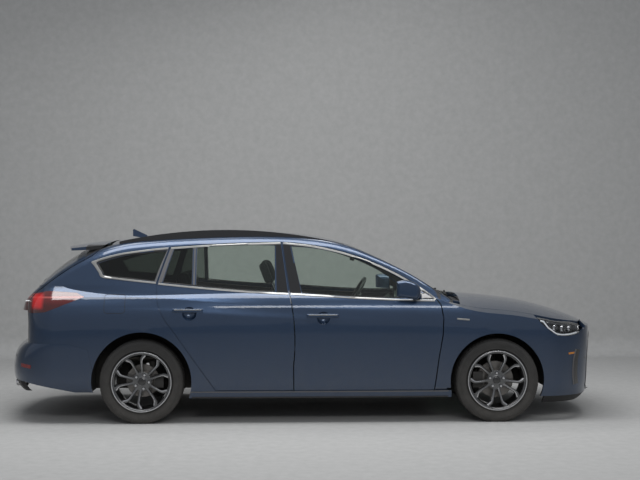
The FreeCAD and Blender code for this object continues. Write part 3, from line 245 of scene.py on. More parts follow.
def let_through(material: Material, bench: Bench, share: object, tint: object = (1.0, 1.0, 1.0)) -> None:
    """Lets light pass straight through a share of a material's surface."""
    out = next(n for n in material.node_tree.nodes if n.type == "OUTPUT_MATERIAL")
    surface = out.inputs[0].links[0].from_socket
    clear = bench.add("ShaderNodeBsdfTransparent", Color=tint)
    both = bench.add("ShaderNodeMixShader", n0=share, n1=surface, n2=clear.outputs[0])
    material.node_tree.links.new(both.outputs[0], out.inputs[0])


def effect(bench: Bench, kind: Effect, **values: object) -> Node:
    """Places one shared group in a material's tree with its own values."""
    return bench.add("ShaderNodeGroup", {"node_tree": EFFECTS[kind]}, **values)


# ---------------------------------------------------------------- finishes
@dataclass(frozen=True)
class Finish:
    """A plain moulded or painted finish with grain, tone variation and a little dust low down."""

    name: str
    colour: Colour
    roughness: float = 0.5
    metallic: float = 0.0
    coat: float = 0.0
    grain_scale: float = 700.0
    grain_depth: float = 0.0
    dust: float = 0.15
    specular: float = 0.5

    def start(self) -> tuple[Material, Bench, Node]:
        """Makes the empty material with its shader."""
        material = bpy.data.materials.new(self.name)
        material.use_nodes = True
        material.node_tree.nodes.clear()
        bench = Bench(material.node_tree)
        shader = bench.add("ShaderNodeBsdfPrincipled")
        out = bench.add("ShaderNodeOutputMaterial")
        material.node_tree.links.new(shader.outputs[0], out.inputs[0])
        shader.inputs["Base Color"].default_value = (*self.colour, 1.0)
        for key, value in (("Roughness", self.roughness), ("Metallic", self.metallic),
                           ("Coat Weight", self.coat),
                           ("Coat Roughness", 0.04), ("Specular IOR Level", self.specular)):
            shader.inputs[key].default_value = value
        material.diffuse_color = (*self.colour, 1.0)
        return material, bench, shader

    def shades(self, *factors: float) -> list[Colour]:
        """The finish's colour, darker or lighter by each factor."""
        return [tuple(c * f for c in self.colour) for f in factors]

    @staticmethod
    def tone(bench: Bench, scale: float) -> Socket:
        """A slow wander between 0 and 1 over the surface."""
        return effect(bench, Effect.VARIATION, Scale=scale, Low=0.0, High=1.0).outputs[0]

    def dusty(self, bench: Bench, colour: object) -> Socket:
        """The colour with road dust laid over its lower parts."""
        mask = effect(bench, Effect.DUST, Reach=0.75, Amount=self.dust)
        return bench.mix(mask.outputs[0], colour, (0.16, 0.145, 0.125))

    def rough(self, bench: Bench, shader: Node, spread: float = 0.06, scale: float = 7.0) -> None:
        """Lets the roughness wander a little over the surface."""
        tone = effect(bench, Effect.VARIATION, Scale=scale, Low=max(0.0, self.roughness - spread),
                      High=min(1.0, self.roughness + spread))
        bench.feed(shader, "Roughness", tone.outputs[0])

    def bump(self, bench: Bench, shader: Node, height: object, strength: float = 1.0) -> None:
        """Feeds a height in metres to the shader's normal."""
        bump = bench.add("ShaderNodeBump", Height=height, Strength=strength, Distance=1.0)
        bench.feed(shader, "Normal", bump.outputs[0])

    def make(self) -> Material:
        """Builds the material."""
        material, bench, shader = self.start()
        tone = self.tone(bench, 14.0)
        dark, light = self.shades(0.86, 1.14)
        bench.feed(shader, "Base Color", self.dusty(bench, bench.mix(tone, dark, light)))
        self.rough(bench, shader)
        if self.grain_depth:
            height = effect(bench, Effect.GRAIN, Scale=self.grain_scale, Depth=self.grain_depth)
            self.bump(bench, shader, height.outputs[0])
        return material


@dataclass(frozen=True)
class PaintFinish(Finish):
    """Metallic body paint: flakes under a clear coat, with the shoulder crease worked into its normal."""

    flake_scale: float = 1600.0
    cabin_side: Colour = (0.02, 0.02, 0.021)
    crease_slope: float = 0.16

    def crease(self, bench: Bench) -> Socket:
        """Height of the crease that runs from the tail lamp's tip down into the doors."""
        _, x, _, z = bench.place()
        half = 2.4
        curve = bench.add("ShaderNodeFloatCurve", Value=bench.maths("DIVIDE", bench.plus(x, half), 2 * half))
        points = curve.mapping.curves[0].points
        line = [(-2.4, 0.962), (-1.66, 0.959), (-1.13, 0.95), (-0.64, 0.91), (-0.1, 0.88), (0.6, 0.862),
                (1.0, 0.856), (2.4, 0.84)]
        for index, (px, pz) in enumerate(line):
            spot = ((px + half) / (2 * half), pz)
            if index < 2:
                points[index].location = spot if index == 0 else (1.0, line[-1][1])
            if 0 < index < len(line) - 1:
                points.new(*spot)
        curve.mapping.update()
        away = bench.minus(z, curve.outputs[0])
        ridge = bench.maths("SQRT", bench.plus(bench.times(away, away), 0.00002))
        near = bench.minus(1.0, bench.step(bench.maths("ABSOLUTE", away), 0.0, 0.09))
        along = bench.minus(1.0, bench.step(x, -0.7, 0.9))
        fall = bench.times(ridge, -self.crease_slope)
        return bench.times(fall, near, along)

    @staticmethod
    def outside(bench: Bench) -> Socket:
        """One on the outer skin, nought on what faces the cabin."""
        _, x, y, z = bench.place()
        lean = bench.times(bench.largest(bench.minus(z, 0.93), 0.0), 0.5)
        side = bench.step(bench.plus(bench.maths("ABSOLUTE", y), lean), 0.798, 0.802)
        fore, aft = bench.step(x, 1.038, 1.042), bench.minus(1.0, bench.step(x, -1.704, -1.7))
        above = bench.step(z, 1.35, 1.352)
        return bench.largest(side, bench.largest(fore, aft), above)

    def make(self) -> Material:
        """Builds the material."""
        material, bench, shader = self.start()
        flakes = effect(bench, Effect.FLAKES, Scale=self.flake_scale, Amount=0.9)
        dark, light = self.shades(0.62, 1.38)
        colour = bench.mix(flakes.outputs[0], dark, light)
        outside = self.outside(bench)
        bench.feed(shader, "Base Color", bench.mix(outside, self.cabin_side, self.dusty(bench, colour)))
        bench.feed(shader, "Metallic", bench.times(outside, self.metallic))
        bench.feed(shader, "Coat Weight", outside)
        self.rough(bench, shader, 0.03, 3.0)
        height = bench.plus(self.crease(bench), flakes.outputs[1])
        self.bump(bench, shader, height)
        shader.inputs["Coat IOR"].default_value = 1.5
        return material


@dataclass(frozen=True)
class GlassFinish(Finish):
    """Safety glass: see-through, lightly or darkly tinted, letting light pass straight to what is behind."""

    tint: Colour = (0.72, 0.8, 0.75)
    clear: float = 1.0
    behind: Colour = (0.23, 0.27, 0.24)
    behind_from: float = -0.85

    def make(self) -> Material:
        """Builds the material."""
        material, bench, shader = self.start()
        shader.inputs["IOR"].default_value = 1.45
        shader.inputs["Roughness"].default_value = 0.0
        shader.inputs["Transmission Weight"].default_value = self.clear
        shade = self.tone(bench, 1.5)
        deep = tuple(c * 0.94 for c in self.tint)
        _, x, _, _ = bench.place()
        fore = bench.step(x, self.behind_from - 0.001, self.behind_from + 0.001)
        even = bench.mix(shade, self.tint, deep)
        bench.feed(shader, "Base Color", bench.mix(fore, self.behind, even))
        squared = [tuple(c * c for c in tint) for tint in (self.behind, self.tint)]
        ray = bench.add("ShaderNodeLightPath")
        either = bench.largest(ray.outputs["Is Shadow Ray"], ray.outputs["Is Diffuse Ray"])
        let_through(material, bench, either, bench.mix(fore, *squared))
        return material


@dataclass(frozen=True)
class LampFinish(Finish):
    """A coloured lamp lens with fine inner prisms, a bright line at the crease's height and a painted
    highlight spot on its side.
    """

    line: Colour = (0.34, 0.075, 0.065)
    # glow is the colour of the painted highlight spot on the lens's side, also put in as a faint emission
    glow: Colour = (0.62, 0.012, 0.012)
    prisms: float = 900.0

    def make(self) -> Material:
        """Builds the material."""
        material, bench, shader = self.start()
        _, x, y, z = bench.place()
        prisms = bench.maths("SINE", bench.times(bench.plus(x, bench.times(y, 0.7)), self.prisms))
        shade = bench.times(bench.plus(prisms, 1.0), 0.18)
        low = bench.minus(1.0, bench.step(z, 0.885, 0.935))
        deep = bench.mix(low, self.colour, tuple(c * 0.42 for c in self.colour))
        ribbed = bench.mix(shade, deep, tuple(min(1.0, c * 1.9) for c in self.colour))
        level = bench.plus(0.955, bench.times(bench.plus(x, 1.7), 0.01))
        stripe = bench.band(bench.minus(z, level), -0.006, 0.006, 0.003)
        lined = bench.mix(stripe, ribbed, self.line)
        # painted highlight: a hot spot of bright red on the lens's side, in the base colour and as a faint
        # emission
        spot = bench.times(bench.band(x, -2.075, -1.99, 0.02), bench.band(z, 0.87, 0.975, 0.02))
        bench.feed(shader, "Base Color", bench.mix(bench.times(spot, 0.75), lined, self.glow))
        bench.feed(shader, "Emission Color", bench.mix(spot, (0.0, 0.0, 0.0), self.glow))
        shader.inputs["Emission Strength"].default_value = 0.12
        self.bump(bench, shader, bench.times(prisms, 0.00004))
        return material


@dataclass(frozen=True)
class ClothFinish(Finish):
    """Woven seat cloth."""

    threads: float = 2400.0

    def make(self) -> Material:
        """Builds the material."""
        material, bench, shader = self.start()
        weave = effect(bench, Effect.WEAVE, Threads=self.threads, Depth=0.0003)
        tone = self.tone(bench, 25.0)
        dark, light = self.shades(0.6, 1.5)
        woven = bench.mix(weave.outputs[0], dark, light)
        bench.feed(shader, "Base Color", bench.mix(tone, woven, self.colour))
        shader.inputs["Sheen Weight"].default_value = 0.25
        self.rough(bench, shader)
        self.bump(bench, shader, weave.outputs[1], 0.6)
        return material


@dataclass(frozen=True)
class TyreFinish(Finish):
    """Rubber with fine concentric ribs on its sidewall; the wheel's centre is where its ribs are centred."""

    centre: Point2 = (0.0, 0.315)
    ribs: float = 2600.0
    ribbed: Point2 = (0.272, 0.292)

    def make(self) -> Material:
        """Builds the material."""
        material, bench, shader = self.start()
        _, x, _, z = bench.place()
        dx, dz = bench.minus(x, self.centre[0]), bench.minus(z, self.centre[1])
        radius = bench.maths("SQRT", bench.plus(bench.times(dx, dx), bench.times(dz, dz)))
        ribs = bench.maths("SINE", bench.times(radius, self.ribs))
        zone = bench.band(radius, *self.ribbed, 0.001)
        tone = self.tone(bench, 18.0)
        dark, light = self.shades(0.8, 1.5)
        bench.feed(shader, "Base Color", self.dusty(bench, bench.mix(tone, dark, light)))
        self.rough(bench, shader, 0.1, 20.0)
        self.bump(bench, shader, bench.times(ribs, zone, 0.00025))
        return material


@dataclass(frozen=True)
class MetalFinish(Finish):
    """Bare, brushed or lacquered metal."""

    brush: float = 300.0

    def make(self) -> Material:
        """Builds the material."""
        material, bench, shader = self.start()
        marks = effect(bench, Effect.BRUSHED, Scale=self.brush)
        dark, light = self.shades(0.8, 1.2)
        bench.feed(shader, "Base Color", self.dusty(bench, bench.mix(marks.outputs[0], dark, light)))
        self.rough(bench, shader, 0.08, 40.0)
        self.bump(bench, shader, marks.outputs[1])
        return material


@dataclass(frozen=True)
class LightGuideFinish(Finish):
    """A frosted light guide that shows pale."""

    glow: float = 0.35

    def make(self) -> Material:
        """Builds the material."""
        material, bench, shader = self.start()
        tone = self.tone(bench, 60.0)
        bench.feed(shader, "Base Color", bench.mix(tone, self.colour, *self.shades(0.9)))
        bench.feed(shader, "Emission Color", bench.mix(tone, self.colour, *self.shades(0.8)))
        shader.inputs["Emission Strength"].default_value = self.glow
        return material


BLUE: Colour = (0.026, 0.052, 0.105)
FINISHES: dict[str, Finish] = {f.name: f for f in (
    PaintFinish("body_paint", BLUE, roughness=0.34, metallic=0.72, coat=1.0, dust=0.35),
    Finish("black_trim", (0.016, 0.016, 0.017), roughness=0.55, grain_depth=0.00025),
    Finish("gloss_black", (0.006, 0.006, 0.007), roughness=0.12, coat=1.0, dust=0.1),
    Finish("seal_rubber", (0.012, 0.012, 0.012), roughness=0.7, dust=0.2),
    Finish("satin_silver", (0.36, 0.36, 0.35), roughness=0.34, metallic=0.85, dust=0.05),
    Finish("satin_grey", (0.1, 0.1, 0.105), roughness=0.42, coat=0.3, dust=0.1),
    Finish("underseal", (0.022, 0.022, 0.024), roughness=0.85, grain_scale=240.0, grain_depth=0.0012,
           dust=0.6),
    Finish("arch_felt", (0.011, 0.011, 0.011), roughness=0.95, grain_scale=320.0, grain_depth=0.001,
           dust=0.5),
    Finish("cabin_plastic", (0.02, 0.02, 0.021), roughness=0.62, grain_scale=520.0, grain_depth=0.0004,
           dust=0.0),
    Finish("steering_leather", (0.014, 0.014, 0.014), roughness=0.48, grain_scale=900.0, grain_depth=0.0004,
           dust=0.0),
    Finish("plate_white", (0.62, 0.62, 0.6), roughness=0.35, coat=0.4, dust=0.1),
    Finish("screen_glass", (0.004, 0.005, 0.006), roughness=0.06, coat=1.0, dust=0.0),
    Finish("indicator_amber", (0.55, 0.2, 0.02), roughness=0.15, coat=1.0, dust=0.0),
    GlassFinish("clear_glass", (0.8, 0.8, 0.8), tint=(0.8, 0.87, 0.82)),
    GlassFinish("privacy_glass", (0.2, 0.2, 0.2), tint=(0.23, 0.27, 0.24)),
    GlassFinish("lamp_glass", (0.9, 0.9, 0.9), tint=(0.86, 0.87, 0.88), behind_from=-9.0),
    LampFinish("red_lens", (0.085, 0.006, 0.006), roughness=0.12, coat=1.0, dust=0.0),
    Finish("red_reflector", (0.2, 0.01, 0.01), roughness=0.2, coat=1.0, grain_scale=300.0,
           grain_depth=0.0006, dust=0.1),
    ClothFinish("seat_cloth", (0.022, 0.022, 0.024), roughness=0.95),
    ClothFinish("seat_centre_cloth", (0.036, 0.036, 0.039), roughness=0.95, threads=1500.0),
    MetalFinish("alloy_grey", (0.135, 0.138, 0.142), roughness=0.3, metallic=0.9, coat=0.8, dust=0.3),
    # alloy_bright is bright machined metal for the rim's lip; on the spokes' kinks it also serves as a
    # painted highlight
    MetalFinish("alloy_bright", (0.55, 0.55, 0.56), roughness=0.22, metallic=1.0, coat=0.5, dust=0.2),
    MetalFinish("chrome", (0.62, 0.62, 0.63), roughness=0.1, metallic=1.0, dust=0.0),
    MetalFinish("brake_iron", (0.2, 0.19, 0.18), roughness=0.38, metallic=0.9, brush=500.0, dust=0.5),
    MetalFinish("cast_iron", (0.05, 0.05, 0.05), roughness=0.65, metallic=0.5, dust=0.6),
    MetalFinish("exhaust_steel", (0.22, 0.2, 0.18), roughness=0.42, metallic=0.9, dust=0.5),
    LightGuideFinish("light_guide", (0.86, 0.88, 0.9), roughness=0.3),
)}
FRONT_WHEEL_X, REAR_WHEEL_X, AXLE_HEIGHT = 1.462, -1.238, 0.315
TYRES = [TyreFinish(f"tyre_rubber_{place}", (0.017, 0.017, 0.017), roughness=0.72, dust=0.5,
                    centre=(x, AXLE_HEIGHT))
         for place, x in (("front", FRONT_WHEEL_X), ("rear", REAR_WHEEL_X))]
MATERIALS = {f.name: f.make() for f in (*FINISHES.values(), *TYRES)}

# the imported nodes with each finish; the others are black trim
FINISHED_NODES: dict[str, str] = {
    "body_paint": "body_side_{s} roof_panel front_wings front_bumper rear_bumper side_skirts bonnet tailgate "
                  "mirror_{s} door_front_{s} door_rear_{s}",
    "lamp_glass": "headlamps", "red_lens": "tail_lamps tailgate_lamps",
    "gloss_black": "front_grille roof_rails",
    "underseal": "underbody", "arch_felt": "arch_liners", "exhaust_steel": "exhaust",
    "cast_iron": "engine_block front_subframe rear_axle knuckle_{s}", "cabin_plastic": "dashboard",
    "seat_cloth": "front_seats rear_seat", "steering_leather": "steering_wheel",
    "privacy_glass": "tailgate_glass",
    "clear_glass": "body_glass glass_front_{s} glass_rear_{s}", "alloy_grey": "rim_front_{s} rim_rear_{s}",
    "tyre_rubber_front": "tyre_front_{s}", "tyre_rubber_rear": "tyre_rear_{s}",
}
NODE_FINISH: dict[str, str] = {node.format(s=side): finish for finish, nodes in FINISHED_NODES.items()
                               for node in nodes.split() for side in SIDES}


def dress_nodes() -> None:
    """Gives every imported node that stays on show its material."""
    for node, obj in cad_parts.items():
        obj.data.materials.clear()
        obj.data.materials.append(MATERIALS[NODE_FINISH.get(node, "black_trim")])
        log.info("dressed %s", node)


# ---------------------------------------------------------------- mesh making
WELD = 1e-5


def circle(count: int) -> list[Point2]:
    """Cosine and sine of evenly spaced angles."""
    return [(math.cos(a), math.sin(a)) for a in (2 * math.pi * k / count for k in range(count))]


def headings(line: Sequence[Vector]) -> list[Vector]:
    """The direction of an open line at each of its points."""
    last = len(line) - 1
    return [(line[min(i + 1, last)] - line[max(i - 1, 0)]).normalized() for i in range(last + 1)]


def spread(low: float, high: float, count: int) -> list[float]:
    """Evenly spaced numbers, count steps apart."""
    return [low + (high - low) * k / count for k in range(count + 1)]


def turned(profile: Sequence[Point2], centre: Sequence[float], axes: Sequence[Sequence[float]],
           steps: int) -> list[list[Vector]]:
    """Rings of a (radius, height) profile turned about a centre; the axes are two across and one along."""
    middle, (across, other, along) = Vector(centre), (Vector(axis) for axis in axes)
    return [[middle + (across * c + other * s) * r + along * h for c, s in circle(steps)] for r, h in profile]


def across_axes(normal: Vector) -> tuple[Vector, Vector, Vector]:
    """Two directions square to a normal, and the normal."""
    across = normal.orthogonal().normalized()
    return across, normal.cross(across), normal


@dataclass
class Shape:
    """Points and faces being gathered for one piece."""

    points: list[Vector] = field(default_factory=list)
    faces: list[tuple[int, ...]] = field(default_factory=list)

    def add(self, points: Iterable[Sequence[float]], faces: Iterable[Sequence[int]]) -> "Shape":
        """Adds points and the faces between them."""
        start = len(self.points)
        self.points += [Vector(p) for p in points]
        self.faces += [tuple(start + i for i in f) for f in faces]
        return self

    def rings(self, rings: Sequence[Sequence[Sequence[float]]], loop: bool = False) -> "Shape":
        """Joins rings of equal count into a skin, closed at both ends unless it loops.

        Args:
            rings: the rings, in order along the skin.
            loop: whether the last ring joins the first.

        Returns:
            This shape.
        """
        count, total = len(rings[0]), len(rings) * len(rings[0])
        faces: list[Sequence[int]] = []
        for a in range(0, total if loop else total - count, count):
            b = (a + count) % total
            for k in range(count):
                n = (k + 1) % count
                faces.append((a + k, a + n, b + n, b + k))
        if not loop:
            faces += [tuple(reversed(range(count))), tuple(range(total - count, total))]
        return self.add([p for ring in rings for p in ring], faces)

    def tube(self, path: Sequence[Sequence[float]], radius: float, sides: int = 10) -> "Shape":
        """A round bar along a path."""
        line = [Vector(p) for p in path]
        rings, across = [], headings(line)[0].orthogonal().normalized()
        for p, ahead in zip(line, headings(line)):
            across = (across - ahead * across.dot(ahead)).normalized()
            rings += turned([(radius, 0.0)], p, (across, ahead.cross(across), ahead), sides)
        return self.rings(rings)

    def sheet(self, tops: Sequence[Vector], lows: Sequence[Vector], width: int) -> "Shape":
        """A closed shell between two grids of points, each of rows of that width."""
        total, count = len(tops), len(tops) // width
        faces: list[tuple[int, ...]] = []
        for r in range(count - 1):
            for a in range(r * width, r * width + width - 1):
                b = a + width
                faces += [(a, a + 1, b + 1, b), (total + a, total + b, total + b + 1, total + a + 1)]
        last, end = width - 1, (count - 1) * width
        rim = [*range(width), *range(width + last, end + last + 1, width),
               *range(end + last - 1, end - 1, -1),
               *range(end - width, 0, -width)]
        faces += [(a, total + a, total + b, b) for a, b in zip(rim, rim[1:] + rim[:1])]
        return self.add([*tops, *lows], faces)

    def block(self, low: Sequence[float], high: Sequence[float]) -> "Shape":
        """A plain block, for bevelling."""
        corners = [(x, y, z) for x in (low[0], high[0]) for y in (low[1], high[1]) for z in (low[2], high[2])]
        return self.add(corners,
                        [(0, 1, 3, 2), (4, 6, 7, 5), (0, 4, 5, 1), (2, 3, 7, 6), (0, 2, 6, 4), (1, 5, 7, 3)])

    def moved(self, matrix: Matrix) -> "Shape":
        """The same shape through a matrix."""
        self.points = [matrix @ p for p in self.points]
        return self

    def mesh(self, name: str, smooth_deg: float = 35.0) -> Mesh:
        """Makes the mesh, welded, with its faces pointing outwards and its sharp edges kept."""
        bm = bmesh.new()
        spots = [bm.verts.new(p) for p in self.points]
        for face in self.faces:
            if len(set(face)) > 2:
                try:
                    bm.faces.new([spots[i] for i in dict.fromkeys(face)])
                except ValueError:
                    log.debug("doubled face in %s", name)
        bmesh.ops.remove_doubles(bm, verts=bm.verts, dist=WELD)
        bmesh.ops.recalc_face_normals(bm, faces=bm.faces)
        for f in bm.faces:
            f.smooth = True
        for e in bm.edges:
            e.smooth = not (len(e.link_faces) == 2 and e.calc_face_angle(0.0) > math.radians(smooth_deg))
        mesh = bpy.data.meshes.new(name)
        bm.to_mesh(mesh)
        bm.free()
        return mesh


def add_piece(name: str, mesh: Mesh, finish: str, body: str = "body",
              bevel: float = 0.0) -> bpy.types.Object:
    """Puts a finished mesh on show and hangs it on its body.

    Args:
        name: the piece's name.
        mesh: its mesh, in the car's frame.
        finish: the name of its finish.
        body: the CAD body that it rides on.
        bevel: the width of a rounding on its sharp edges, applied at once.

    Returns:
        The object.
    """
    obj = bpy.data.objects.new(name, mesh)
    bpy.context.scene.collection.objects.link(obj)
    if not mesh.materials:
        mesh.materials.append(MATERIALS[finish])
    if bevel:
        rounding = obj.modifiers.new("bevel", "BEVEL")
        rounding.width, rounding.segments, rounding.limit_method = bevel, 2, "ANGLE"
        rounding.angle_limit = math.radians(30)
        bpy.context.view_layer.update()
        done = bpy.data.meshes.new_from_object(obj.evaluated_get(bpy.context.evaluated_depsgraph_get()))
        obj.modifiers.clear()
        obj.data = done
        done.name = name
    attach(obj, body)
    log.info("built %s", name)
    return obj


def smooth_path(points: Sequence[Sequence[float]], count: int) -> list[Vector]:
    """Evenly spaced points along a smooth line through the given ones, of 2 or 3 numbers each."""
    line = [Vector((*p, 0.0)) if len(p) == 2 else Vector(p) for p in points]
    fine: list[Vector] = []
    for i in range(len(line) - 1):
        p0, p1, p2, p3 = (line[max(i - 1, 0)], line[i], line[i + 1], line[min(i + 2, len(line) - 1)])
        for k in range(24):
            t = k / 24
            fine.append(0.5 * ((2 * p1) + (p2 - p0) * t + (2 * p0 - 5 * p1 + 4 * p2 - p3) * t * t
                               + (3 * p1 - p0 - 3 * p2 + p3) * t ** 3))
    fine.append(line[-1])
    return even_path(fine, count)


def even_path(fine: Sequence[Vector], count: int) -> list[Vector]:
    """Evenly spaced points along a broken line."""
    reach = [0.0]
    for a, b in zip(fine, fine[1:]):
        reach.append(reach[-1] + (b - a).length)
    found, k = [], 0
    for i in range(count):
        target = reach[-1] * i / (count - 1)
        while k < len(fine) - 2 and reach[k + 1] < target:
            k += 1
        span = reach[k + 1] - reach[k]
        found.append(fine[k].lerp(fine[k + 1], (target - reach[k]) / span if span else 0.0))
    return found


def mirrored_mesh(mesh: Mesh, name: str) -> Mesh:
    """The same mesh on the other side of the car."""
    other = mesh.copy()
    other.name = name
    other.transform(Matrix.Diagonal((1.0, -1.0, 1.0, 1.0)))
    other.flip_normals()
    return other


def add_pair(name: str, mesh: Mesh, finish: str, body: str = "body") -> list[bpy.types.Object]:
    """Puts a right-hand mesh on show, and its mirror image on the left."""
    return [add_piece(f"{name}_right", mesh, finish, sided(body, "right")),
            add_piece(f"{name}_left", mirrored_mesh(mesh, f"{name}_left"), finish, sided(body, "left"))]


def sided(body: str, side: str) -> str:
    """A body's name on one side; fixed bodies keep theirs."""
    return f"{body}_{side}" if body.startswith("door") else body


class Way(Enum):
    """Where a skin is looked at from: the two axes that place a point, the third one and the ray's sign."""

    RIGHT = ((0, 2), 1, 1.0)
    FRONT = ((1, 2), 0, -1.0)
    REAR = ((1, 2), 0, 1.0)
    ABOVE = ((0, 1), 2, -1.0)


@dataclass
class Skin:
    """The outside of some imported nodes, for laying trim on."""

    nodes: Sequence[str]
    way: Way
    start: float = 3.0
    reach: float = 6.0
    furthest: int = 9

    def __post_init__(self) -> None:
        """Gathers the nodes' triangles."""
        skin = Shape()
        for node in self.nodes:
            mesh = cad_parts[node].data
            skin.add([v.co for v in mesh.vertices], [p.vertices for p in mesh.polygons])
        self.tree = BVHTree.FromPolygons(skin.points, skin.faces)

    def at(self, a: float, b: float) -> Optional[tuple[Vector, Vector]]:
        """The skin's point and outward normal at two coordinates, or None beside it."""
        (first, second), axis, sign = self.way.value
        origin, aim = Vector((0.0, 0.0, 0.0)), Vector((0.0, 0.0, 0.0))
        origin[first], origin[second], origin[axis], aim[axis] = a, b, -sign * self.start, sign
        place, normal, _, _ = self.tree.ray_cast(origin, aim, self.reach)
        if place is None:
            return None
        return place, (normal if normal.dot(aim) < 0 else -normal)

    def near(self, a: float, b: float) -> tuple[Vector, Vector]:
        """The skin at a point, or beside it where the point lies over a gap."""
        for step in range(0, 90, 3):
            away = step / 1000
            for da, db in ((0.0, 0.0), (away, 0.0), (-away, 0.0), (0.0, away), (0.0, -away)):
                hit = self.at(a + da, b + db)
                if hit:
                    return hit
        raise ValueError("no skin near this point")

    def grid(self, rows: Sequence[Sequence[Point2]]) -> list[list[tuple[Vector, Vector]]]:
        """Skin points of a grid, with holes filled from their neighbours in the row."""
        found = [[self.at(*p) for p in row] for row in rows]
        first, second = self.way.value[0]
        for r, row in enumerate(found):
            for c, hit in enumerate(row):
                if hit is None:
                    near = sorted((abs(rr - r) + abs(cc - c), rr, cc) for rr in range(len(found))
                                  for cc in range(len(row)) if found[rr][cc] is not None)
                    if not near or near[0][0] >= self.furthest:
                        raise ValueError(f"no skin near {rows[r][c]} on {self.nodes}")
                    _, rr, cc = near[0]
                    place, normal = (v.copy() for v in found[rr][cc])
                    place[first], place[second] = rows[r][c]
                    row[c] = (place, normal)
        return found

    def patch(self, rows: Sequence[Sequence[Point2]], lift: float, sink: float = 0.0006,
              crown: float = 0.0) -> Shape:
        """A closed shell lying on the skin.

        Args:
            rows: a grid of coordinates.
            lift: how far its top stands off the skin.
            sink: how far its underside dips below the skin.
            crown: extra height along the middle rows.

        Returns:
            The shell.
        """
        hits = self.grid(rows)
        count = len(rows)
        tops, lows = [], []
        for r in range(count):
            bulge = crown * math.sin(math.pi * r / (count - 1)) if count > 1 else 0.0
            tops += [place + normal * (lift + bulge) for place, normal in hits[r]]
            lows += [place - normal * sink for place, normal in hits[r]]
        return Shape().sheet(tops, lows, len(rows[0]))


def strip_rows(path: Sequence[Point2], width: float, count: int, across: int = 3,
               smooth: bool = True) -> Rows:
    """Rows of coordinates for a strip of even width along a path."""
    line = smooth_path(path, count) if smooth else even_path([Vector((*p, 0.0)) for p in path], count)
    rows: Rows = [[] for _ in range(across)]
    for p, ahead in zip(line, headings(line)):
        side = Vector((-ahead.y, ahead.x, 0.0))
        for r in range(across):
            q = p + side * width * (r / (across - 1) - 0.5)
            rows[r].append((q.x, q.y))
    return rows


def between_rows(low: Sequence[Point2], high: Sequence[Point2], count: int, across: int) -> Rows:
    """Rows of coordinates filling the area between two lines."""
    a, b = smooth_path(low, count), smooth_path(high, count)
    return [[tuple(p.lerp(q, r / (across - 1)).xy) for p, q in zip(a, b)] for r in range(across)]


# ---------------------------------------------------------------- repeated pieces
def repeat_tree(name: str) -> NodeTree:
    """A geometry tree that sets copies of its own piece round a ring about Z.

    Args:
        name: the tree's name.

    Returns:
        The tree, with inputs Piece, Count, Reach (the radius), Turn and Material.
    """
    tree = bpy.data.node_groups.new(name, "GeometryNodeTree")
    for label, kind in (("Piece", "Geometry"), ("Count", "Int"), ("Reach", "Float"), ("Turn", "Float"),
                        ("Material", "Material")):
        tree.interface.new_socket(name=label, in_out="INPUT", socket_type=f"NodeSocket{kind}")
    tree.interface.new_socket(name="Pieces", in_out="OUTPUT", socket_type="NodeSocketGeometry")
    b = Bench(tree)
    entry, leave = b.add("NodeGroupInput"), b.add("NodeGroupOutput")
    spots = b.add("GeometryNodeMeshCircle", Vertices=entry.outputs["Count"], Radius=entry.outputs["Reach"])
    index = b.add("GeometryNodeInputIndex").outputs[0]
    share = b.maths("DIVIDE", b.times(index, 2 * math.pi), entry.outputs["Count"])
    turn = b.add("ShaderNodeCombineXYZ", Z=share).outputs[0]
    placed = b.add("GeometryNodeInstanceOnPoints", Points=spots.outputs[0], Instance=entry.outputs["Piece"],
                   Rotation=turn)
    spun = b.add("GeometryNodeTransform", Geometry=placed.outputs[0])
    tree.links.new(b.add("ShaderNodeCombineXYZ", Z=entry.outputs["Turn"]).outputs[0], spun.inputs["Rotation"])
    solid = b.add("GeometryNodeRealizeInstances", Geometry=spun.outputs[0])
    coloured = b.add("GeometryNodeSetMaterial", Geometry=solid.outputs[0], Material=entry.outputs["Material"])
    tree.links.new(coloured.outputs[0], leave.inputs[0])
    return tree


RING_TREE = repeat_tree("pieces_round_a_ring")


def repeated(piece: Mesh, tree: NodeTree, count: int, reach: float, finish: str,
             place: Matrix, turn: float = 0.0) -> Mesh:
    """Runs a repeat tree on a piece and returns the plain mesh, set in its place.

    Args:
        piece: the mesh to repeat.
        tree: the geometry tree that repeats it.
        count: how many.
        reach: the ring's radius.
        finish: the finish of every copy.
        place: moves the result into the car's frame.
        turn: turns the ring, in radians.

    Returns:
        The finished mesh.
    """
    carrier = bpy.data.objects.new("carrier", piece)
    bpy.context.scene.collection.objects.link(carrier)
    modifier = carrier.modifiers.new("repeat", "NODES")
    modifier.node_group = tree
    for item in tree.interface.items_tree:
        value = {"Count": count, "Reach": reach, "Turn": turn, "Material": MATERIALS[finish]}.get(item.name)
        if value is not None:
            modifier[item.identifier] = value
    bpy.context.view_layer.update()
    mesh = bpy.data.meshes.new_from_object(carrier.evaluated_get(bpy.context.evaluated_depsgraph_get()))
    bpy.data.objects.remove(carrier)
    mesh.transform(place)
    if place.determinant() < 0:
        mesh.flip_normals()
    return mesh


def joined(name: str, meshes: Sequence[Mesh]) -> Mesh:
    """One mesh of several that share their materials."""
    bm = bmesh.new()
    for mesh in meshes:
        bm.from_mesh(mesh)
    out = bpy.data.meshes.new(name)
    bm.to_mesh(out)
    bm.free()
    for material in meshes[0].materials:
        out.materials.append(material)
    return out


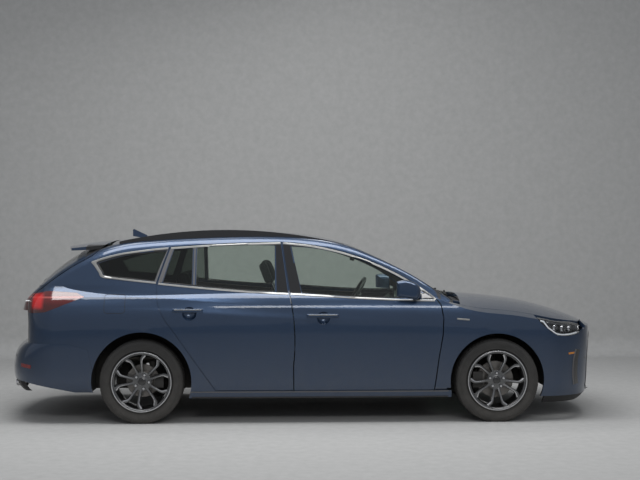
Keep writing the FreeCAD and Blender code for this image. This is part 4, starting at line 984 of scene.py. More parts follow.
# ---------------------------------------------------------------- wheels
@dataclass
class RoadWheel:
    """One wheel: tyre with its tread, alloy rim with five double spokes, nuts, cap and brake disc."""

    place: str
    side: str
    axle_x: float
    turn_deg: float
    disc_radius: float
    track_half: float = 0.78
    tyre_radius: float = 0.3185
    tyre_half: float = 0.1025
    rim_radius: float = 0.2285
    tread_depth: float = 0.0075
    nut_ring: float = 0.054
    shoulder_drop: float = 0.0045
    crown_drop: float = 0.0004
    block_share: float = 0.86
    steps: int = 96

    @property
    def body(self) -> str:
        """The CAD body that the wheel's pieces ride on."""
        return f"wheel_{self.place}_{self.side}"

    def to_car(self) -> Matrix:
        """From a wheel lying in the XY plane, outer face up, to its place on the car."""
        out = SIDES[self.side]
        turned = Matrix(((1, 0, 0, 0), (0, 0, out, 0), (0, 1, 0, 0), (0, 0, 0, 1)))
        return Matrix.Translation((self.axle_x, out * self.track_half, AXLE_HEIGHT)) @ turned

    def outline(self, profile: Sequence[Point2], name: str, finish: str, steps: int = 0) -> Mesh:
        """Turns a closed (radius, outward) outline about the axle."""
        rings = [[(r * c, r * s, w) for r, w in profile] for c, s in circle(steps or self.steps)]
        mesh = Shape().rings(rings, loop=True).moved(self.to_car()).mesh(name, 28.0)
        mesh.materials.append(MATERIALS[finish])
        return mesh

    def tyre(self) -> None:
        """Carcass with sidewall steps and grooves, and rows of tread blocks, flat where it stands."""
        low, out, half, groove = self.rim_radius + 0.0004, self.tyre_radius, self.tyre_half, self.tread_depth
        base = out - groove
        wall = [(low, 0.089), (low + 0.006, 0.0935), (low + 0.012, 0.0995), (low + 0.015, 0.1012),
                (low + 0.018, 0.1),
                (low + 0.03, 0.1018), (low + 0.044, half), (low + 0.0445, half + 0.0004),
                (low + 0.058, half + 0.0002),
                (low + 0.0585, half - 0.0006), (out - 0.02, 0.0985), (out - 0.0115, 0.093),
                (base - 0.0005, 0.0865)]
        profile = wall + [(base, 0.0)] + [(r, -w) for r, w in reversed(wall)]
        rubber = f"tyre_rubber_{self.place}"
        parts = [self.outline(profile, f"tyre_carcass_{self.place}_{self.side}", rubber, 128)]
        rows = ((-0.074, 0.026, 60, 0.0), (-0.0415, 0.0235, 60, 0.02), (-0.0005, 0.03, 60, 0.035),
                (0.041, 0.0235, 60, 0.05), (0.0745, 0.026, 60, 0.07))
        for middle, width, count, turn in rows:
            w0, w1 = middle - width / 2, middle + width / 2
            t0 = out - (self.shoulder_drop if middle < -0.06 else self.crown_drop)
            t1 = out - (self.shoulder_drop if middle > 0.06 else self.crown_drop)
            length = 2 * math.pi * out / count * self.block_share
            skew = 0.006 if middle > 0 else -0.006
            points = []
            for y in (-length / 2, 0.0, length / 2):
                sag = y * y / (2 * out)
                points += [(base - 0.004, y, w0), (t0 - sag, y + skew * 0.2, w0), (t1 - sag, y + skew, w1),
                           (base - 0.004, y + skew, w1)]
            block = Shape().rings([points[i:i + 4] for i in (0, 4, 8)])
            for p in block.points:
                p.x -= out
            parts.append(repeated(block.mesh("block"), RING_TREE, count, out, rubber, self.to_car(), turn))
        whole = joined(f"tyre_{self.place}_{self.side}_rubber", parts)
        for v in whole.vertices:
            v.co.z = max(v.co.z, 0.0002)
        tyre = add_piece(f"tyre_tread_{self.place}_{self.side}", whole, rubber, self.body)
        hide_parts(f"tyre_{self.place}_{self.side}")

    @staticmethod
    def leg_line(stations: Sequence[Sequence[float]], middle_deg: float,
                 hand: int) -> list[tuple[Vector, Vector]]:
        """Point and sideways direction at each (radius, offset in degrees, ...) station of a leg."""
        spots = [(r, math.radians(middle_deg + hand * off)) for r, off, *_ in stations]
        line = [Vector((r * math.cos(a), r * math.sin(a), 0.0)) for r, a in spots]
        return [(p, Vector((-ahead.y, ahead.x, 0.0)) * hand) for p, ahead in zip(line, headings(line))]

    def spoke_leg(self, middle_deg: float, hand: int) -> Shape:
        """One leg of a double spoke, kinked outwards near the rim."""
        stations = ((0.05, 15.5, 0.03, 0.0585, 0.03), (0.08, 14.2, 0.0235, 0.0665, 0.03),
                    (0.12, 13.2, 0.0205, 0.076, 0.028), (0.158, 13.0, 0.0215, 0.083, 0.026),
                    (0.176, 14.2, 0.0265, 0.085, 0.025), (0.19, 17.2, 0.0285, 0.086, 0.024),
                    (0.2065, 20.6, 0.03, 0.0865, 0.024))
        rings = []
        for (p, side), (_, _, width, face, deep) in zip(self.leg_line(stations, middle_deg, hand), stations):
            cut = ((-0.5, -deep), (-0.5, -0.0075), (-0.32, -0.001), (0.1, 0.0), (0.4, -0.0045),
                   (0.5, -0.0095), (0.46, -deep))
            rings.append([p + side * width * u + Vector((0.0, 0.0, face + v)) for u, v in cut])
        return Shape().rings(rings)

    def rim(self) -> None:
        """Barrel, spokes, hub, facets, nuts, cap and valve."""
        tag = f"{self.place}_{self.side}"
        out = self.rim_radius
        barrel = [(out - 0.001, 0.1035), (out - 0.006, 0.1042), (out - 0.0105, 0.1015), (out - 0.0125, 0.095),
                  (out - 0.017, 0.0905), (out - 0.0215, 0.0885), (out - 0.0235, 0.0835), (out - 0.0245, 0.06),
                  (out - 0.032, 0.03), (out - 0.034, -0.05), (out - 0.02, -0.09), (out - 0.004, -0.096),
                  (out - 0.0035, -0.102), (out - 0.0005, -0.102), (out - 0.0005, -0.088),
                  (out - 0.011, -0.07),
                  (out - 0.011, 0.07), (out - 0.0005, 0.088)]
        parts, bright = [self.outline(barrel, "barrel", "alloy_grey")], []
        for middle, hand in ((self.turn_deg + 36 + 72 * k, hand) for k in range(5) for hand in (-1, 1)):
            parts.append(self.spoke_leg(middle, hand).moved(self.to_car()).mesh("leg", 18.0))
            # the bright facets are partly real machined metal and partly a painted highlight on each kink
            bright.append(self.bright_facet(middle, hand))
        hub = [(0.0305, 0.06), (0.033, 0.0625), (0.04, 0.06), (0.066, 0.061), (0.072, 0.058), (0.0745, 0.05),
               (0.0745, 0.025), (0.016, 0.025), (0.016, 0.056)]
        parts.append(self.outline(hub, "hub", "alloy_grey", 60))
        rim = add_piece(f"rim_spokes_{tag}", joined(f"rim_{tag}", parts), "alloy_grey", self.body)
        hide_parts(f"rim_{self.place}_{self.side}")
        edge = [(out - 0.0015, 0.1038), (out - 0.0035, 0.1044), (out - 0.007, 0.1042), (out - 0.0098, 0.1022),
                (out - 0.007, 0.1018), (out - 0.003, 0.102)]
        bright.append(self.outline(edge, "edge", "alloy_bright"))
        add_piece(f"rim_bright_{tag}", joined(f"bright_{tag}", bright), "alloy_bright", self.body)
        cap = [(0.0, 0.064), (0.012, 0.0638), (0.021, 0.0628), (0.027, 0.0608), (0.03, 0.059), (0.03, 0.03),
               (0.0, 0.03)]
        add_piece(f"rim_cap_{tag}", self.outline(cap, "cap", "gloss_black", 40), "gloss_black", self.body)
        ring = [(0.03, 0.0612), (0.0312, 0.0632), (0.033, 0.0634), (0.0342, 0.0618), (0.0335, 0.06)]
        add_piece(f"rim_cap_ring_{tag}", self.outline(ring, "ring", "satin_grey", 48), "satin_grey",
                  self.body)
        for name, sides, finish, smooth_deg, profile in (
                ("nuts", 6, "chrome", 25.0,
                 ((0.0105, 0.052), (0.0105, 0.0685), (0.009, 0.071), (0.005, 0.0722))),
                # gloss black rings round the nuts: painted shade standing for the dark of the pockets the
                # nuts sit in
                ("nut_pocket_painted_shade", 18, "gloss_black", 30.0, ((0.0145, 0.05), (0.0145, 0.0616), (0.0135, 0.0622),
                                                        (0.0118, 0.0616), (0.0118, 0.05)))):
            single = Shape().rings(turned(profile, (0, 0, 0), ((1, 0, 0), (0, 1, 0), (0, 0, 1)), sides))
            ring = repeated(single.mesh(name, smooth_deg), RING_TREE, 5, self.nut_ring, finish, self.to_car(),
                            math.radians(self.turn_deg))
            add_piece(f"rim_{name}_{tag}", ring, finish, self.body)
        a = math.radians(self.turn_deg + 90 + 72 * 2)
        tip = Vector((0.196 * math.cos(a), 0.196 * math.sin(a), 0.0))
        stem = Shape().tube([tip + Vector((0, 0, 0.055)), tip + Vector((0, 0, 0.086))],
                            0.0042).moved(self.to_car())
        add_piece(f"rim_valve_{tag}", stem.mesh("valve"), "seal_rubber", self.body, bevel=0.0008)

    def bright_facet(self, middle_deg: float, hand: int) -> Mesh:
        """A thin bright face on a leg's kink: bright machined metal that also serves as a painted highlight
        where the kink catches the light.
        """
        stations = ((0.092, 13.9, 0.022, 0.0697), (0.12, 13.2, 0.0205, 0.0762), (0.158, 13.0, 0.0215, 0.0832),
                    (0.176, 14.2, 0.0265, 0.0852), (0.19, 17.2, 0.0285, 0.0862), (0.2055, 20.4, 0.03, 0.0867))
        rings, near = [], 0.1
        for i, ((p, side), (_, _, width, face)) in enumerate(zip(self.leg_line(stations, middle_deg, hand),
                                                                 stations)):
            share = min(1.0, 0.15 + i * 0.3)
            cut = ((near, 0.0003), (near + 0.3 * share, -0.0045 * share + 0.0004),
                   (near + 0.38 * share, -0.0085 * share + 0.0003),
                   (near + 0.3 * share, -0.006 * share - 0.0004),
                   (near, -0.0012))
            rings.append([p + side * width * u + Vector((0.0, 0.0, face + v)) for u, v in cut])
        mesh = Shape().rings(rings).moved(self.to_car()).mesh("facet", 30.0)
        mesh.materials.append(MATERIALS["alloy_bright"])
        return mesh

    def brake(self) -> None:
        """Brake disc with its hat and a groove round its edge between its two faces."""
        r = self.disc_radius
        disc = [(0.06, -0.006), (0.06, 0.02), (0.078, 0.02), (0.082, -0.0045), (r - 0.002, -0.0045),
                (r, -0.006),
                (r, -0.011), (r - 0.006, -0.0115), (r - 0.006, -0.0205), (r, -0.021), (r, -0.026),
                (r - 0.002, -0.0275),
                (0.075, -0.0275), (0.07, -0.012)]
        add_piece(f"brake_disc_{self.place}_{self.side}", self.outline(disc, "disc", "brake_iron"),
                  "brake_iron", self.body)

    def build(self) -> None:
        """Builds every piece of the wheel."""
        self.tyre()
        self.rim()
        self.brake()


WHEELS = [RoadWheel(place, side, x, turn, disc) for side in SIDES
          for place, x, turn,
          disc in (("front", FRONT_WHEEL_X, 18.0, 0.14), ("rear", REAR_WHEEL_X, -4.0, 0.125))]


# ---------------------------------------------------------------- trim lying on the body
BODY_SKIN = ("body_side_{s}", "front_wings", "body_glass", "rear_bumper", "front_bumper", "side_skirts")
DOOR_SKINS = {"door_front": ("door_front_{s}", "glass_front_{s}"),
              "door_rear": ("door_rear_{s}", "glass_rear_{s}")}


@dataclass(frozen=True)
class Trim:
    """One strip or patch, the same on both sides: its name, body, finish and lines."""

    name: str
    body: str
    finish: str
    lift: float
    path: Sequence[Point2]
    other: Optional[Sequence[Point2]] = None
    width: float = 0.012
    count: int = 40
    across: int = 3
    crown: float = 0.0
    smooth: bool = True

    def rows(self) -> Rows:
        """The strip's grid of side-view coordinates."""
        if self.other is not None:
            return between_rows(self.path, self.other, self.count, self.across)
        return strip_rows(self.path, self.width, self.count, self.across, self.smooth)

    def build(self, skins: dict[str, Skin]) -> None:
        """Lays it on the right side and mirrors it to the left."""
        shape = skins[self.body].patch(self.rows(), self.lift, 0.0015, self.crown)
        add_pair(self.name, shape.mesh(f"{self.name}_right", 40.0), self.finish, self.body)


def arc_line(p: Point2, q: Point2, r: Point2, count: int = 12) -> list[Point2]:
    """Points on the circle from p through q to r."""
    ax, ay, bx, by, cx, cy = *p, *q, *r
    d = 2 * (ax * (by - cy) + bx * (cy - ay) + cx * (ay - by))
    ux = ((ax * ax + ay * ay) * (by - cy) + (bx * bx + by * by) * (cy - ay)
          + (cx * cx + cy * cy) * (ay - by)) / d
    uy = ((ax * ax + ay * ay) * (cx - bx) + (bx * bx + by * by) * (ax - cx)
          + (cx * cx + cy * cy) * (bx - ax)) / d
    radius = math.hypot(ax - ux, ay - uy)
    a0, a1, a2 = (math.atan2(y - uy, x - ux) for x, y in (p, q, r))
    span = a2 - a0
    if not min(a0, a2) <= a1 <= max(a0, a2):
        span += 2 * math.pi if span < 0 else -2 * math.pi
    return [(ux + radius * math.cos(a0 + span * i / count), uy + radius * math.sin(a0 + span * i / count))
            for i in range(count + 1)]


def shifted(path: Sequence[Point2], by: float) -> list[Point2]:
    """A path moved sideways, to its left."""
    out = []
    for i, (x, y) in enumerate(path):
        ax, ay = path[max(i - 1, 0)]
        bx, by2 = path[min(i + 1, len(path) - 1)]
        d = math.hypot(bx - ax, by2 - ay)
        out.append((x - (by2 - ay) / d * by, y + (bx - ax) / d * by))
    return out


FRONT_TOP = arc_line((-0.18, 1.371), (0.395, 1.265), (0.843, 1.052))
REAR_TOP = arc_line((-1.042, 1.332), (-0.62, 1.359), (-0.182, 1.371))
FRONT_GLASS_TOP = arc_line((-0.108, 1.336), (0.395, 1.246), (0.79, 1.056))
REAR_GLASS_TOP = arc_line((-0.833, 1.326), (-0.54, 1.346), (-0.231, 1.343))
TRIMS = (
    # window frames: black inside, satin strip outside
    Trim("frame_front", "door_front", "gloss_black", 0.0008, shifted(FRONT_TOP, -0.006)[1:],
         shifted(FRONT_GLASS_TOP, 0.002), count=60),
    Trim("frame_rear", "door_rear", "gloss_black", 0.0008, shifted(REAR_TOP, -0.006)[1:-1],
         [(-1.012, 1.313), (-0.86, 1.327), *shifted(REAR_GLASS_TOP, 0.002)[1:], (-0.192, 1.342)], count=60),
    Trim("pillar_front", "door_front", "gloss_black", 0.0011,
         [(-0.115, 0.9795), (-0.145, 1.17), (-0.172, 1.3585)],
         [(-0.03, 0.9795), (-0.069, 1.165), (-0.106, 1.343)], count=30, across=6),
    Trim("pillar_rear", "door_rear", "gloss_black", 0.0011, [(-0.133, 0.9795), (-0.16, 1.17), (-0.187, 1.36)],
         [(-0.2335, 0.988), (-0.2335, 1.17), (-0.2335, 1.35)], count=30, across=6),
    Trim("divider", "door_rear", "satin_grey", 0.0016, [(-0.831, 1.036), (-0.831, 1.327)],
         [(-0.865, 1.04), (-0.865, 1.325)], count=24),
    Trim("pillar_back_door", "door_rear", "satin_grey", 0.0012,
         [(-1.084, 1.062), (-1.048, 1.185), (-1.0085, 1.312)],
         [(-1.1215, 1.062), (-1.08, 1.196), (-1.037, 1.321)], count=24, across=5),
    Trim("pillar_back_body", "body", "satin_grey", 0.0012, [(-1.135, 1.062), (-1.093, 1.196), (-1.05, 1.321)],
         [(-1.15, 1.07), (-1.109, 1.19), (-1.064, 1.302)], count=24, across=4),
    Trim("silver_top_front", "door_front", "satin_silver", 0.003,
         [(-0.17, 1.361), *shifted(FRONT_TOP, -0.0115)[2:], (0.905, 1.001), (0.975, 0.947), (0.99, 0.933)],
         width=0.0135, count=90, crown=0.0012),
    Trim("silver_top_rear", "door_rear", "satin_silver", 0.003,
         [(-1.032, 1.323), *shifted(REAR_TOP, -0.0115)[1:-1], (-0.189, 1.3605)], width=0.0135, count=60,
         crown=0.0012),
    Trim("silver_belt_front", "door_front", "satin_silver", 0.003,
         [(-0.112, 0.976), (0.06, 0.966), (0.212, 0.957), (0.4, 0.945), (0.562, 0.937), (0.738, 0.929),
          (0.851, 0.927), (0.985, 0.925)], width=0.0125, count=70, crown=0.0012),
    Trim("silver_belt_rear", "door_rear", "satin_silver", 0.003,
         [(-1.119, 1.053), (-0.95, 1.036), (-0.78, 1.02), (-0.603, 1.005), (-0.4, 0.99), (-0.231, 0.981),
          (-0.131, 0.9765)], width=0.0125, count=60, crown=0.0012),
    Trim("silver_quarter", "body", "satin_silver", 0.003,
         [(-1.052, 1.329), (-1.14, 1.321), (-1.231, 1.311), (-1.399, 1.287), (-1.52, 1.26), (-1.605, 1.233),
          (-1.64, 1.217), (-1.618, 1.19), (-1.58, 1.14), (-1.55, 1.101), (-1.44, 1.086), (-1.3, 1.07),
          (-1.135, 1.053)],
         [(-1.056, 1.316), (-1.14, 1.308), (-1.231, 1.298), (-1.399, 1.274), (-1.52, 1.244), (-1.585, 1.223),
          (-1.601, 1.21), (-1.586, 1.185), (-1.556, 1.142), (-1.534, 1.115), (-1.44, 1.0985), (-1.3, 1.0825),
          (-1.139, 1.066)], count=150, crown=0.0012),
    Trim("seal_quarter", "body", "seal_rubber", 0.001,
         [(-1.06, 1.317), (-1.231, 1.299), (-1.399, 1.275), (-1.585, 1.224), (-1.601, 1.21), (-1.556, 1.142),
          (-1.534, 1.115), (-1.3, 1.083), (-1.142, 1.066)],
         [(-1.066, 1.296), (-1.231, 1.283), (-1.399, 1.258), (-1.57, 1.208), (-1.581, 1.201), (-1.543, 1.144),
          (-1.524, 1.12), (-1.3, 1.095), (-1.156, 1.077)], count=120),
    Trim("wiper_front", "door_front", "seal_rubber", 0.0025,
         [(-0.027, 0.986), (0.212, 0.968), (0.39, 0.957), (0.562, 0.951), (0.8, 0.947)], width=0.007,
         count=50),
    Trim("wiper_rear", "door_rear", "seal_rubber", 0.0025,
         [(-1.08, 1.064), (-0.86, 1.043), (-0.603, 1.017), (-0.4, 1.002), (-0.235, 0.996)], width=0.007,
         count=50),
    Trim("sail", "door_front", "gloss_black", 0.0016, [(0.792, 0.948), (0.88, 0.94), (0.975, 0.936)],
         [(0.79, 1.056), (0.89, 1.0), (0.98, 0.94)], count=24, across=8),
    # lower body
    Trim("skirt_top", "body", "satin_grey", 0.0016,
         [(-0.868, 0.238), (-0.3, 0.238), (0.4, 0.238), (1.09, 0.238)],
         width=0.008, count=80, smooth=False),
    Trim("skirt_low", "body", "black_trim", 0.0016,
         [(-0.86, 0.196), (-0.3, 0.196), (0.4, 0.196), (1.085, 0.196)],
         width=0.009, count=80, smooth=False),
    Trim("wing_bar", "body", "satin_silver", 0.004, [(1.15, 0.788), (1.245, 0.78)], width=0.012, count=16,
         crown=0.001),
    Trim("reflector_rear", "body", "red_reflector", 0.003, [(-2.16, 0.438), (-2.075, 0.428)], width=0.026,
         count=16),
    Trim("reflector_front", "body", "indicator_amber", 0.0024, [(2.02, 0.515), (2.075, 0.518)], width=0.015,
         count=12),
)


@dataclass
class SideTrim:
    """Every strip, patch and seal that lies on the car's two sides."""

    trims: Sequence[Trim] = TRIMS

    def build(self) -> None:
        """Finds the skins once and lays all trims on them."""
        skins = {name: Skin([n.format(s="right") for n in nodes], Way.RIGHT)
                 for name, nodes in (("body", BODY_SKIN), *DOOR_SKINS.items())}
        for trim in self.trims:
            trim.build(skins)
        self.handles()
        self.filler_flap(skins["body"])

    def handles(self) -> None:
        """A bright strip along each pull handle."""
        for name, x0, x1, z, y in (("door_front", 0.022, 0.238, 0.8205, 0.925),
                                   ("door_rear", -0.99, -0.786, 0.8605, 0.906)):
            for side, out in SIDES.items():
                ys = sorted((out * (y - 0.003), out * (y + 0.0016)))
                shape = Shape().block((x0, ys[0], z - 0.0035), (x1, ys[1], z + 0.0035))
                add_piece(f"handle_strip_{name}_{side}", shape.mesh("strip"), "satin_silver",
                          f"{name}_{side}", bevel=0.0008)

    def filler_flap(self, skin: Skin) -> None:
        """The fuel filler flap's round-cornered gap, a dark line in the right rear quarter."""
        x, z, w, h, r = -1.44, 0.905, 0.078, 0.07, 0.022
        corners = [(x + sx * (w - r), z + sz * (h - r), a)
                   for sx, sz, a in ((1, 1, 0), (-1, 1, 90), (-1, -1, 180), (1, -1, 270))]
        line = [(cx + r * math.cos(math.radians(a + t)), cz + r * math.sin(math.radians(a + t)))
                for cx, cz, a in corners for t in range(0, 91, 15)]
        mesh = skin.patch(strip_rows([*line, line[0]], 0.0032, 120, 3, False), 0.0004,
                          0.0012).mesh("flap", 60.0)
        add_piece("filler_flap_gap_right", mesh, "seal_rubber", "body")


# ---------------------------------------------------------------- lamps, bumper trims, plates
@dataclass
class Headlamps:
    """Clear covers over dark housings with projectors and a white light guide."""

    top: Sequence[Point2] = ((1.77, 0.7925), (1.84, 0.78), (1.917, 0.764), (2.036, 0.752), (2.118, 0.736))
    low: Sequence[Point2] = ((1.8, 0.752), (1.835, 0.722), (1.874, 0.693), (1.93, 0.6585), (2.012, 0.6515),
                             (2.106, 0.663))
    depth: float = 0.046
    projector_depth: float = 0.034
    columns: int = 48
    across: int = 13

    def tray(self, skin: Skin, rows: Rows) -> Shape:
        """The housing's dish: rim at the cover, floor behind it."""
        hits = skin.grid(rows)
        last_r, last_c = len(rows) - 1, len(rows[0]) - 1
        edge, step, ridge, back = 0.0045, 0.02, 0.006, 0.006
        tops, lows = [], []
        for r, row in enumerate(hits):
            for c, (p, n) in enumerate(row):
                inset = min(r, last_r - r, c, last_c - c)
                deep = (edge, step)[inset] if inset < 2 else self.depth
                if inset > 1 and (r - 2) % 3 == 0:
                    deep -= ridge
                tops.append(p - n * deep)
                lows.append(p - n * (self.depth + back if inset else 0.008))
        return Shape().sheet(tops, lows, last_c + 1)

    def build(self) -> None:
        """Builds both lamps."""
        skin = Skin(["headlamps"], Way.RIGHT)
        rows = between_rows(self.low, self.top, self.columns, self.across)
        lens = skin.patch(rows, 0.0006, 0.0022).mesh("lens", 50.0)
        tray = self.tray(skin, rows).mesh("tray", 25.0)
        guide_path = [(self.top[0][0] + 0.03, self.top[0][1] - 0.01), (1.823, 0.755)]
        guide_path += [(p.x, p.y + 0.009) for p in smooth_path(self.low, 60)[12:]]
        guide = self.sunk(skin, strip_rows(guide_path, 0.0095, 80, 4), 0.009, 0.006).mesh("guide", 50.0)
        brow_path = [(x + 0.01, z - 0.019) for x, z in self.top[1:-1]]
        brow = self.sunk(skin, strip_rows(brow_path, 0.004, 40, 3), 0.016, 0.005).mesh("brow", 50.0)
        projectors, rims = Shape(), Shape()
        axes = across_axes(Vector((0.83, -0.55, 0.05)).normalized())
        for u, v, radius in ((1.925, 0.713, 0.025), (1.995, 0.704, 0.025), (2.062, 0.701, 0.021)):
            place, outward = skin.near(u, v)
            centre = place - outward * self.projector_depth
            dome = [(max(radius * math.cos(a), 0.0004), radius * 0.62 * math.sin(a))
                    for a in spread(0, math.pi / 2, 7)]
            projectors.rings(turned([(radius, -0.012)] + dome, centre, axes, 28))
            hoop = ((radius + 0.0005, -0.01), (radius + 0.0005, 0.002), (radius + 0.0045, 0.004),
                    (radius + 0.006, -0.01))
            rims.rings(turned(hoop, centre, axes, 32), loop=True)
        pieces = (("lens", lens, "lamp_glass"), ("housing", tray, "gloss_black"),
                  ("guide", guide, "light_guide"),
                  ("brow", brow, "satin_grey"),
                  ("projectors", projectors.mesh("projectors", 40.0), "lamp_glass"),
                  ("projector_rims", rims.mesh("rims", 40.0), "chrome"))
        made = []
        for name, mesh, finish in pieces:
            made += add_pair(f"headlamp_{name}", mesh, finish)
        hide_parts("headlamps")

    def sunk(self, skin: Skin, rows: Rows, deep: float, thick: float) -> Shape:
        """A bar lying behind the cover."""
        return skin.patch(rows, -deep, deep + thick)


@dataclass
class FrontEnd:
    """Grille frame, blank plate, bare badge, air curtains and parking sensors."""

    plate_size: Point2 = (0.52, 0.112)
    plate_z: float = 0.36

    def build(self) -> None:
        """Builds the front trims."""
        skin = Skin(["front_bumper", "front_grille", "bonnet", "front_lip"], Way.FRONT)
        frame_line = [(-0.598, 0.25), (-0.598, 0.44), (-0.56, 0.556), (-0.44, 0.636), (0.0, 0.638),
                      (0.44, 0.636),
                      (0.56, 0.556), (0.598, 0.44), (0.598, 0.25), (0.44, 0.208), (0.0, 0.206),
                      (-0.44, 0.208),
                      (-0.598, 0.25)]
        body = Skin(["front_bumper"], Way.FRONT)
        middle = 0.422
        outline = [(y * 1.018, middle + (z - middle) * 1.035) for y, z in frame_line]
        border = body.patch(strip_rows(outline, 0.014, 220, 4), 0.0035, 0.004, 0.001)
        add_piece("grille_frame", border.mesh("frame", 50.0), "satin_grey")
        x, (half_w, half_h) = skin.near(0.0, self.plate_z)[0].x, (v / 2 for v in self.plate_size)
        for name, finish, back, fore, margin, bevel in (("front_plate", "plate_white", 0.004, 0.0045, 0.0,
                                                         0.0015),
                                                        ("front_plate_holder", "black_trim", 0.03, -0.003,
                                                         0.006, 0.003)):
            w, h = half_w + margin, half_h + margin
            slab = Shape().block((x - back, -w, self.plate_z - h), (x + fore, w, self.plate_z + h))
            add_piece(name, slab.mesh(name), finish, bevel=bevel)
        badge_z = 0.565
        spot = (skin.near(0.0, badge_z)[0].x, 0.0, badge_z)
        profile = ((0.046, -0.02), (0.046, 0.004), (0.043, 0.008), (0.034, 0.0085), (0.032, 0.006),
                   (0.01, 0.0075),
                   (0.0005, 0.0077))
        badge = Shape().rings(turned(profile, spot, ((0, 1.25, 0), (0, 0, 1), (1, 0, 0)), 48))
        add_piece("front_badge_blank", badge.mesh("badge", 30.0), "satin_silver")
        side = Skin(["front_bumper"], Way.RIGHT)
        for name, finish, lift, width, line in (
                ("curtain_frame", "satin_grey", 0.0035, 0.012,
                 ((2.086, 0.545), (2.066, 0.47), (2.06, 0.36), (2.07, 0.27))),
                ("curtain_slot", "gloss_black", 0.002, 0.034,
                 ((2.11, 0.54), (2.092, 0.47), (2.086, 0.36), (2.096, 0.275)))):
            add_pair(name, side.patch(strip_rows(line, width, 40, 4), lift, 0.004).mesh(name, 50.0), finish)
        self.sensors(body, "front", ((0.665, 0.47), (0.3, 0.672)))

    @staticmethod
    def sensors(skin: Skin, name: str, spots: Sequence[Point2]) -> None:
        """Round parking sensors set flush in a bumper."""
        shape = Shape()
        profile = ((0.0115, -0.004), (0.0115, 0.001), (0.01, 0.0018), (0.0088, 0.0018), (0.0084, 0.0008),
                   (0.0004, 0.001))
        for y, z in spots:
            for sign in (-1, 1):
                place, normal = skin.near(sign * y, z)
                shape.rings(turned(profile, place, across_axes(normal), 24))
        add_piece(f"sensors_{name}", shape.mesh("sensors", 40.0), "satin_grey")


@dataclass
class RearEnd:
    """Blank plate, handle bar, high brake lamp, wiper, lamp lines, exhaust trims."""

    def build(self) -> None:
        """Builds the rear trims."""
        gate = Skin(["tailgate", "tailgate_glass", "tailgate_lamps"], Way.REAR)
        bumper = Skin(["rear_bumper"], Way.REAR)
        rows = [[(y, z) for y in spread(-0.265, 0.265, 20)] for z in spread(0.7, 0.825, 6)]
        add_piece("plate_recess", gate.patch(rows, 0.0012, 0.004).mesh("recess", 50.0), "black_trim",
                  "tailgate")
        low, high = gate.near(0.0, 0.705)[0], gate.near(0.0, 0.818)[0]
        tilt = math.atan2(high.x - low.x, high.z - low.z)
        middle = (low + high) / 2
        place = Matrix.Translation(middle + Vector((-0.006, 0.0, 0.0))) @ Matrix.Rotation(tilt, 4, "Y")
        plate = Shape().block((-0.0035, -0.26, -0.055), (0.0015, 0.26, 0.055)).moved(place)
        add_piece("rear_plate", plate.mesh("plate"), "plate_white", "tailgate", bevel=0.0012)
        bar = [gate.near(y, 0.858)[0] + Vector((-0.008, 0.0, 0.0)) for y in spread(-0.3, 0.3, 24)]
        add_piece("tailgate_handle_bar", Shape().tube(bar, 0.011, 14).mesh("bar", 40.0), "satin_silver",
                  "tailgate")
        badge_z = 0.925
        profile = ((0.04, -0.012), (0.04, 0.003), (0.037, 0.006), (0.029, 0.006), (0.027, 0.004),
                   (0.0005, 0.0055))
        badge = turned(profile, (gate.near(0.0, badge_z)[0].x, 0.0, badge_z),
                       ((0, 1.3, 0), (0, 0, 1), (-1, 0, 0)), 40)
        add_piece("tailgate_badge_blank", Shape().rings(badge).mesh("badge", 30.0), "satin_silver",
                  "tailgate")
        for side, sign in reversed(SIDES.items()):
            line = strip_rows([(sign * 0.52, 0.915), (sign * 0.6, 0.918), (sign * 0.72, 0.925)], 0.008, 20, 3)
            add_piece(f"tail_line_{side}", gate.patch(line, 0.0012, 0.002).mesh("line", 50.0), "light_guide",
                      "tailgate")
        above = Skin(["tailgate"], Way.ABOVE)
        strip = above.patch([[(x, y) for y in spread(-0.16, 0.16, 12)] for x in (-1.875, -1.868, -1.861)],
                            0.0008, 0.002)
        add_piece("high_brake_lamp", strip.mesh("brake", 50.0), "red_reflector", "tailgate")
        self.wiper(gate)
        FrontEnd.sensors(bumper, "rear", ((0.62, 0.5), (0.22, 0.515)))
        valance = Skin(["rear_valance"], Way.REAR)
        out_y, z = 0.5, 0.285
        profile = ((0.036, 0.05), (0.036, -0.001), (0.0335, -0.004), (0.03, 0.0), (0.03, 0.04))
        for side, sign in reversed(SIDES.items()):
            centre = (valance.near(sign * out_y, z)[0].x, sign * out_y, z)
            tip = Shape().rings(turned(profile, centre, ((0, 1.75, 0), (0, 0, 0.92), (1, 0, 0)), 40))
            add_piece(f"exhaust_trim_{side}", tip.mesh("tip", 35.0), "chrome")

    def wiper(self, gate: Skin) -> None:
        """The rear wiper, parked along the glass's foot."""
        line = []
        for k in range(16):
            y = -0.02 + 0.36 * k / 15
            p, n = gate.near(y, 1.052 + 0.012 * math.sin(k / 15 * math.pi))
            line.append(p + n * 0.014)
        blade = Shape().tube(line[3:], 0.0055, 8)
        add_piece("rear_wiper_blade", blade.mesh("blade", 40.0), "seal_rubber", "tailgate")
        p, n = gate.near(-0.02, 1.04)
        arm = Shape().tube([p + n * 0.004, p + n * 0.022, line[4] + n * 0.012, line[9] + n * 0.01], 0.0075,
                           10)
        add_piece("rear_wiper_arm", arm.mesh("arm", 40.0), "black_trim", "tailgate")


